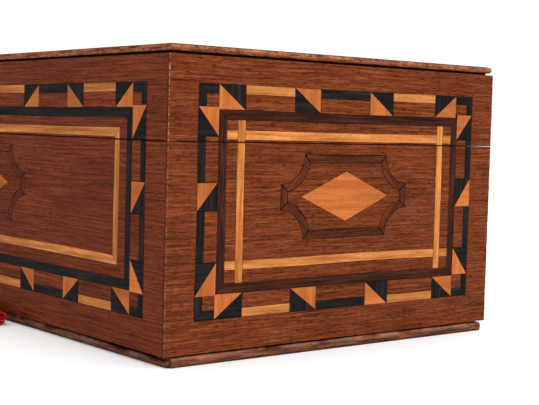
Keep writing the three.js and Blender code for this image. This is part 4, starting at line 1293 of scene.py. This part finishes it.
# ---- Carcass ----
# Walls and lid rails of solid walnut and a pine bottom. They show inside the box and along the
# rims, where the polish is thin.
PLAIN_FIGURE, PLAIN_PORES = (0.05, 0.003), (0.005, 0.0005, 0.4)
inside_along_x = wood("carcass walnut long", *WALNUT_TONES, PLAIN_FIGURE, PLAIN_PORES, 0.5, "X")
inside_along_y = wood("carcass walnut short", *WALNUT_TONES, PLAIN_FIGURE, PLAIN_PORES, 0.5, "Y")
pine = wood(
    "pine",
    (0.33, 0.17, 0.075),
    (0.44, 0.25, 0.12),
    (0.52, 0.33, 0.17),
    (0.09, 0.004),
    (0.006, 0.0005, 0.2),
    0.6,
    "X",
)


def make_of(node, material):
    """Gives a CAD node its one material."""
    node.data.materials.clear()
    node.data.materials.append(material)


for name, node in frame["nodes"].items():
    if name.endswith(("_wall", "_rail")):
        make_of(node, inside_along_y if "left" in name or "right" in name else inside_along_x)
make_of(frame["nodes"]["bottom_board"], pine)

# ---- Brass and steel: hinges, lock ----
# Brass leaves and lock plates, cast and filed, gone dull in the hollows, and steel pins, bolt and
# key. Each filed edge is broken a little.


def metal(name, bright, dull, rough):
    """Filed metal: fine scratches one way, and a brown tarnish that lies in patches."""
    n = Nodes(name)
    where = n.add("TexCoord").outputs["Object"]
    scratches = n.stretched(where, (0.006, 0.0002, 0.0002), 3, 0.6)
    tarnish = n.stretched(where, (0.006, 0.006, 0.006), 5, 0.65)
    specks = n.stretched(where, (0.0007, 0.0007, 0.0007), 3, 0.6)
    share = n.maths("ADD", n.spread(tarnish, 0.42, 0.66, 0, 0.85), n.spread(specks, 0.6, 0.7, 0, 0.4))
    n.set(Base_Color=n.blend(share, bright, dull), Metallic=1.0)
    worn_rough = n.maths(
        "ADD",
        n.spread(scratches, 0.3, 0.7, rough - 0.07, rough + 0.07),
        n.maths("MULTIPLY", share, 0.18),
    )
    n.set(Roughness=worn_rough)
    n.bump(n.maths("SUBTRACT", n.maths("MULTIPLY", scratches, 0.4), share), 0.00003)
    return n.material


brass = metal("brass", (0.72, 0.50, 0.20), (0.26, 0.15, 0.055), 0.3)
steel = metal("steel", (0.50, 0.48, 0.46), (0.13, 0.10, 0.085), 0.32)
for name, node in frame["nodes"].items():
    if name.startswith("hinge_") or name in ("lock_case", "lock_bolt", "link_plate"):
        node.data.materials.clear()
        node.data.materials.append(steel if name.endswith(("pin", "bolt")) else brass)
        weld = node.modifiers.new("weld", "WELD")
        weld.merge_threshold = 0.000002
        broken = node.modifiers.new("broken edges", "BEVEL")
        broken.width, broken.segments, broken.limit_method = 0.00012, 2, "ANGLE"
        broken.angle_limit = np.radians(50)

SCREW_RADIUS, SCREW_SLOT, SCREW_DOME = 0.0019, 0.00028, 0.00022


def screw_head(x, y, z, up, turn):
    """A countersunk head seen from above, as rings and angles: a low dome that a slot crosses."""
    r = np.linspace(0.02, 1, 12)[:, None] * SCREW_RADIUS
    t = np.linspace(0, 2 * np.pi, 40, endpoint=False)[None, :] + turn
    height = SCREW_DOME * (1 - (r / SCREW_RADIUS) ** 2) + 0 * t
    slot = np.abs(r * np.sin(t - turn)) < SCREW_SLOT
    height = np.where(slot & (r < SCREW_RADIUS * 0.93), height - 0.0004, height)
    top = np.stack([x + r * np.cos(t), y + r * np.sin(t), z + up * height], -1)
    rim = np.stack([x + 0.97 * r[-1] * np.cos(t), y + 0.97 * r[-1] * np.sin(t), z - up * 0.0006 + 0 * t], -1)
    return closed_sheet(np.concatenate([top, rim.reshape(1, -1, 3)]))


for side in ("left", "right"):
    for leaf, body in (("body", "box"), ("lid", "lid")):
        low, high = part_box(f"hinge_{side}_{leaf}_leaf")
        up = 1 if leaf == "body" else -1
        face_z = WALL_RIM + 0.0002 if leaf == "body" else LID_RIM - 0.0002
        middle = (low.x + high.x) / 2
        heads = [
            screw_head(middle + dx, HALF_DEPTH - dy, face_z, up, turn)
            for dx, dy, turn in ((-0.0115, 0.0048, 0.4), (0, 0.0058, 1.7), (0.0115, 0.0048, 2.6))
        ]
        piece(f"hinge_{side}_{leaf}_screws", *joined(heads), steel, body, "steel")

# ---- Keyhole liner ----
# A brass ring let into the diamond, with the outline of the key: round, with a slot below.
theta = np.unique(np.concatenate([np.linspace(0, 2 * np.pi, 121)[:-1], keyhole_edge(0).corners]))
inner, outer = keyhole_edge(0)(theta), keyhole_edge(0.00076)(theta)
rows = [(outer, POCKET), (outer, VENEER - BEVEL), (outer - BEVEL, VENEER + 0.00005)]
rows += [(inner + 0.00022, VENEER + 0.00005), (inner, VENEER - 0.0002), (inner, POCKET)]
rings = np.stack([np.stack([r * np.cos(theta), 0 * theta + KEY_Y - w, KEY_Z + r * np.sin(theta)], -1) for r, w in rows])
points, faces = closed_sheet(rings, loop_rows=True)
liner = piece("keyhole_liner_brass", points, faces, brass, "box", "brass")
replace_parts(liner, "keyhole_liner")

# ---- Key ----
# A forged pipe key: a ring bow, a turned stem with a collar, and a filed bit, each a body of its
# own that runs into the next.
low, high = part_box("key")
BOW_RADIUS, BOW_BAR, STEM_RADIUS, PIPE_BORE = 0.0074, 0.0015, 0.0022, 0.0013
bow_y = low.y + BOW_RADIUS + BOW_BAR
turn = np.linspace(0, 2 * np.pi, 64, endpoint=False)[:, None]
small = np.linspace(0, 2 * np.pi, 20, endpoint=False)[None, :]
bar = BOW_BAR * (1 + 0.12 * np.cos(turn) ** 8)
ring_x = (BOW_RADIUS + bar * np.cos(small)) * np.cos(turn)
ring_y = bow_y + (BOW_RADIUS + bar * np.cos(small)) * np.sin(turn)
ring_y = np.maximum(ring_y, low.y)
bow = closed_sheet(np.stack([ring_x, ring_y, KEY_Z + bar * np.sin(small)], -1), caps=False, loop_rows=True)
neck = KEY_Y - 0.012
profile = [
    (neck - 0.0006, 0.0012),
    (neck, 0.0024),
    (neck + 0.0009, 0.0024),
    (neck + 0.0014, 0.0030),
    (neck + 0.0020, 0.0031),
    (neck + 0.0027, 0.0031),
    (neck + 0.0033, 0.0030),
    (neck + 0.0040, 0.0024),
    (neck + 0.0050, STEM_RADIUS),
    (high.y - 0.0004, STEM_RADIUS),
    (high.y, STEM_RADIUS - 0.0003),
    (high.y, PIPE_BORE),
    (high.y - 0.004, PIPE_BORE),
]
along, radius = np.array(profile).T
turn = np.linspace(0, 2 * np.pi, 40, endpoint=False)
stem = closed_sheet(
    np.stack(
        np.broadcast_arrays(
            radius[:, None] * np.cos(turn), along[:, None] + 0 * turn, KEY_Z + radius[:, None] * np.sin(turn)
        ),
        -1,
    )
)
bit_outline = np.array([(low.x + 0.0004, -1), (low.x, -0.8), (low.x, 0.8), (low.x + 0.0004, 1), (-0.0016, 1), (-0.0016, -1)])
bit_y = np.array([high.y - 0.0036, high.y - 0.0034, high.y - 0.0021, high.y - 0.0019, high.y - 0.0017, high.y - 0.0002, high.y])
shrink = np.array([0.9, 1, 1, 0.72, 1, 1, 0.9])
bit = closed_sheet(
    np.stack(
        np.broadcast_arrays(
            np.where(bit_outline[:, 0] < -0.004, bit_outline[:, 0] * shrink[:, None], bit_outline[:, 0]),
            bit_y[:, None],
            KEY_Z + 0.0008 * bit_outline[:, 1] * np.minimum(shrink[:, None] + 0.05, 1),
        ),
        -1,
    )
)
key = piece("key_forged", *joined([bow, stem, bit]), steel, "key", "steel")
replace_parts(key, "key")

# ---- Linings ----
# Silk velvet glued over thin card, in the bottom of the box and under the lid. The card's edge
# is rounded by the cloth, and the pile is rubbed one way in places.


def velvet(name):
    n = Nodes(name)
    where = n.add("TexCoord").outputs["Object"]
    rubbed = n.stretched(where, (0.03, 0.012, 0.012), 4, 0.6, 0.6)
    pile = n.stretched(where, (0.00035, 0.00035, 0.00035), 2, 0.7)
    shade = n.maths("ADD", n.spread(rubbed, 0.35, 0.65, 0, 0.7), n.spread(pile, 0.35, 0.65, -0.1, 0.35))
    n.set(Base_Color=n.blend(shade, (0.090, 0.004, 0.009), (0.180, 0.010, 0.018)))
    n.set(Roughness=n.spread(pile, 0.3, 0.7, 0.75, 0.95), Sheen_Weight=0.8, Sheen_Roughness=0.35)
    n.set(Sheen_Tint=(0.9, 0.25, 0.28), Specular_IOR_Level=0.2)
    n.bump(n.maths("ADD", pile, n.maths("MULTIPLY", rubbed, 1.5)), 0.00025)
    return n.material


pile = velvet("velvet")


def lining(node, body, name, up, seed):
    """A padded sheet: over the middle it is crowned and uneven by a little, and at the edge it goes
    down in a quarter round. up is the side that shows, +1 or -1."""
    low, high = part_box(node)
    nx, ny = 132, 76
    s, t = np.linspace(-1, 1, nx)[:, None], np.linspace(-1, 1, ny)[None, :]
    half = (high - low) / 2
    from_edge = np.minimum((1 - np.abs(s)) * half.x, (1 - np.abs(t)) * half.y)
    rounding = 0.0026
    rise = np.sqrt(np.clip(1 - (1 - np.clip(from_edge / rounding, 0, 1)) ** 2, 0, 1))
    random = np.random.default_rng(seed).uniform(0, 6, 8)
    x, y = (low.x + high.x) / 2 + s * half.x, (low.y + high.y) / 2 + t * half.y
    uneven = sum(
        np.sin(x * f + random[k]) * np.sin(y * f * 0.8 + random[k + 4])
        for k, f in enumerate((40, 85, 150, 260))
    )
    thickness = (high.z - low.z) * (0.25 + 0.68 * rise + 0.012 * uneven * rise)
    back = low.z if up > 0 else high.z
    top = np.stack(np.broadcast_arrays(x, y, back + up * thickness), -1)
    bottom = np.stack(np.broadcast_arrays(x, y, back + 0 * thickness), -1)
    flat = np.vstack([top.reshape(-1, 3), bottom.reshape(-1, 3)])
    sheet = np.array(grid_faces(nx, ny, loop_columns=False))
    under = sheet[:, ::-1] + nx * ny
    rim = np.concatenate(
        [
            np.arange(ny),
            np.arange(1, nx) * ny + ny - 1,
            (nx - 1) * ny + np.arange(ny - 2, -1, -1),
            np.arange(nx - 2, 0, -1) * ny,
        ]
    )
    after = np.roll(rim, -1)
    walls = np.stack([rim, after, after + nx * ny, rim + nx * ny], -1)
    faces = np.vstack([sheet, under, walls[:, ::-1]])
    faces = faces if up > 0 else faces[:, ::-1]
    made = piece(name, flat, faces.tolist(), pile, body, "velvet")
    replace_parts(made, node)
    return made


lining("floor_lining", "box", "floor_velvet", 1, 3)
lining("lid_lining", "lid", "lid_velvet", -1, 4)

# ---- Floor and light ----
# A white table, a low white screen all round it, a large softbox overhead, and a smaller one on
# each side of the camera. Above the screen the room is grey.
floor_mesh = bpy.data.meshes.new("floor")
REACH = 1.4
floor_mesh.from_pydata(
    [(-REACH, -REACH, 0), (REACH, -REACH, 0), (REACH, REACH, 0), (-REACH, REACH, 0)], [], [(0, 1, 2, 3)]
)
n = Nodes("white table")
grime = n.stretched(n.add("TexCoord").outputs["Object"], (0.3, 0.3, 0.3), 4)
n.set(
    Base_Color=n.blend(grime, (0.92, 0.92, 0.92), (0.95, 0.95, 0.95)),
    Roughness=0.7,
    Specular_IOR_Level=0.1,
)
floor_mesh.materials.append(n.material)
floor = bpy.data.objects.new("floor", floor_mesh)
bpy.context.collection.objects.link(floor)

world = bpy.data.worlds.new("room")
bpy.context.scene.world = world
world.use_nodes = True
tree = world.node_tree
direction = tree.nodes.new("ShaderNodeTexCoord")
height = tree.nodes.new("ShaderNodeSeparateXYZ")
fade = tree.nodes.new("ShaderNodeMapRange")
fade.interpolation_type = "SMOOTHSTEP"
for k, value in enumerate((0.2, 0.5, 1.06, 0.22)):
    fade.inputs[k + 1].default_value = value
tree.links.new(direction.outputs["Generated"], height.inputs[0])
tree.links.new(height.outputs["Z"], fade.inputs["Value"])
tree.links.new(fade.outputs[0], tree.nodes["Background"].inputs["Strength"])
tree.nodes["Background"].inputs["Color"].default_value = (1, 1, 1, 1)


def softbox(name, place, aim, size, power):
    data = bpy.data.lights.new(name, "AREA")
    data.energy, data.shape, data.size, data.size_y = power, "RECTANGLE", *size
    lamp = bpy.data.objects.new(name, data)
    lamp.location = place
    lamp.rotation_euler = (Vector(aim) - Vector(place)).to_track_quat("-Z", "Y").to_euler()
    bpy.context.collection.objects.link(lamp)


softbox("overhead", (0.6, 0.7, 1.6), (0.6, 0.7, 0), (5, 5), 114)
softbox("right softbox", (1.5, -0.3, 0.75), (0.1, 0, 0.08), (0.9, 0.9), 11)
softbox("front softbox", (0.6, -1.6, 0.8), (0, -0.05, 0.08), (0.9, 0.9), 1)
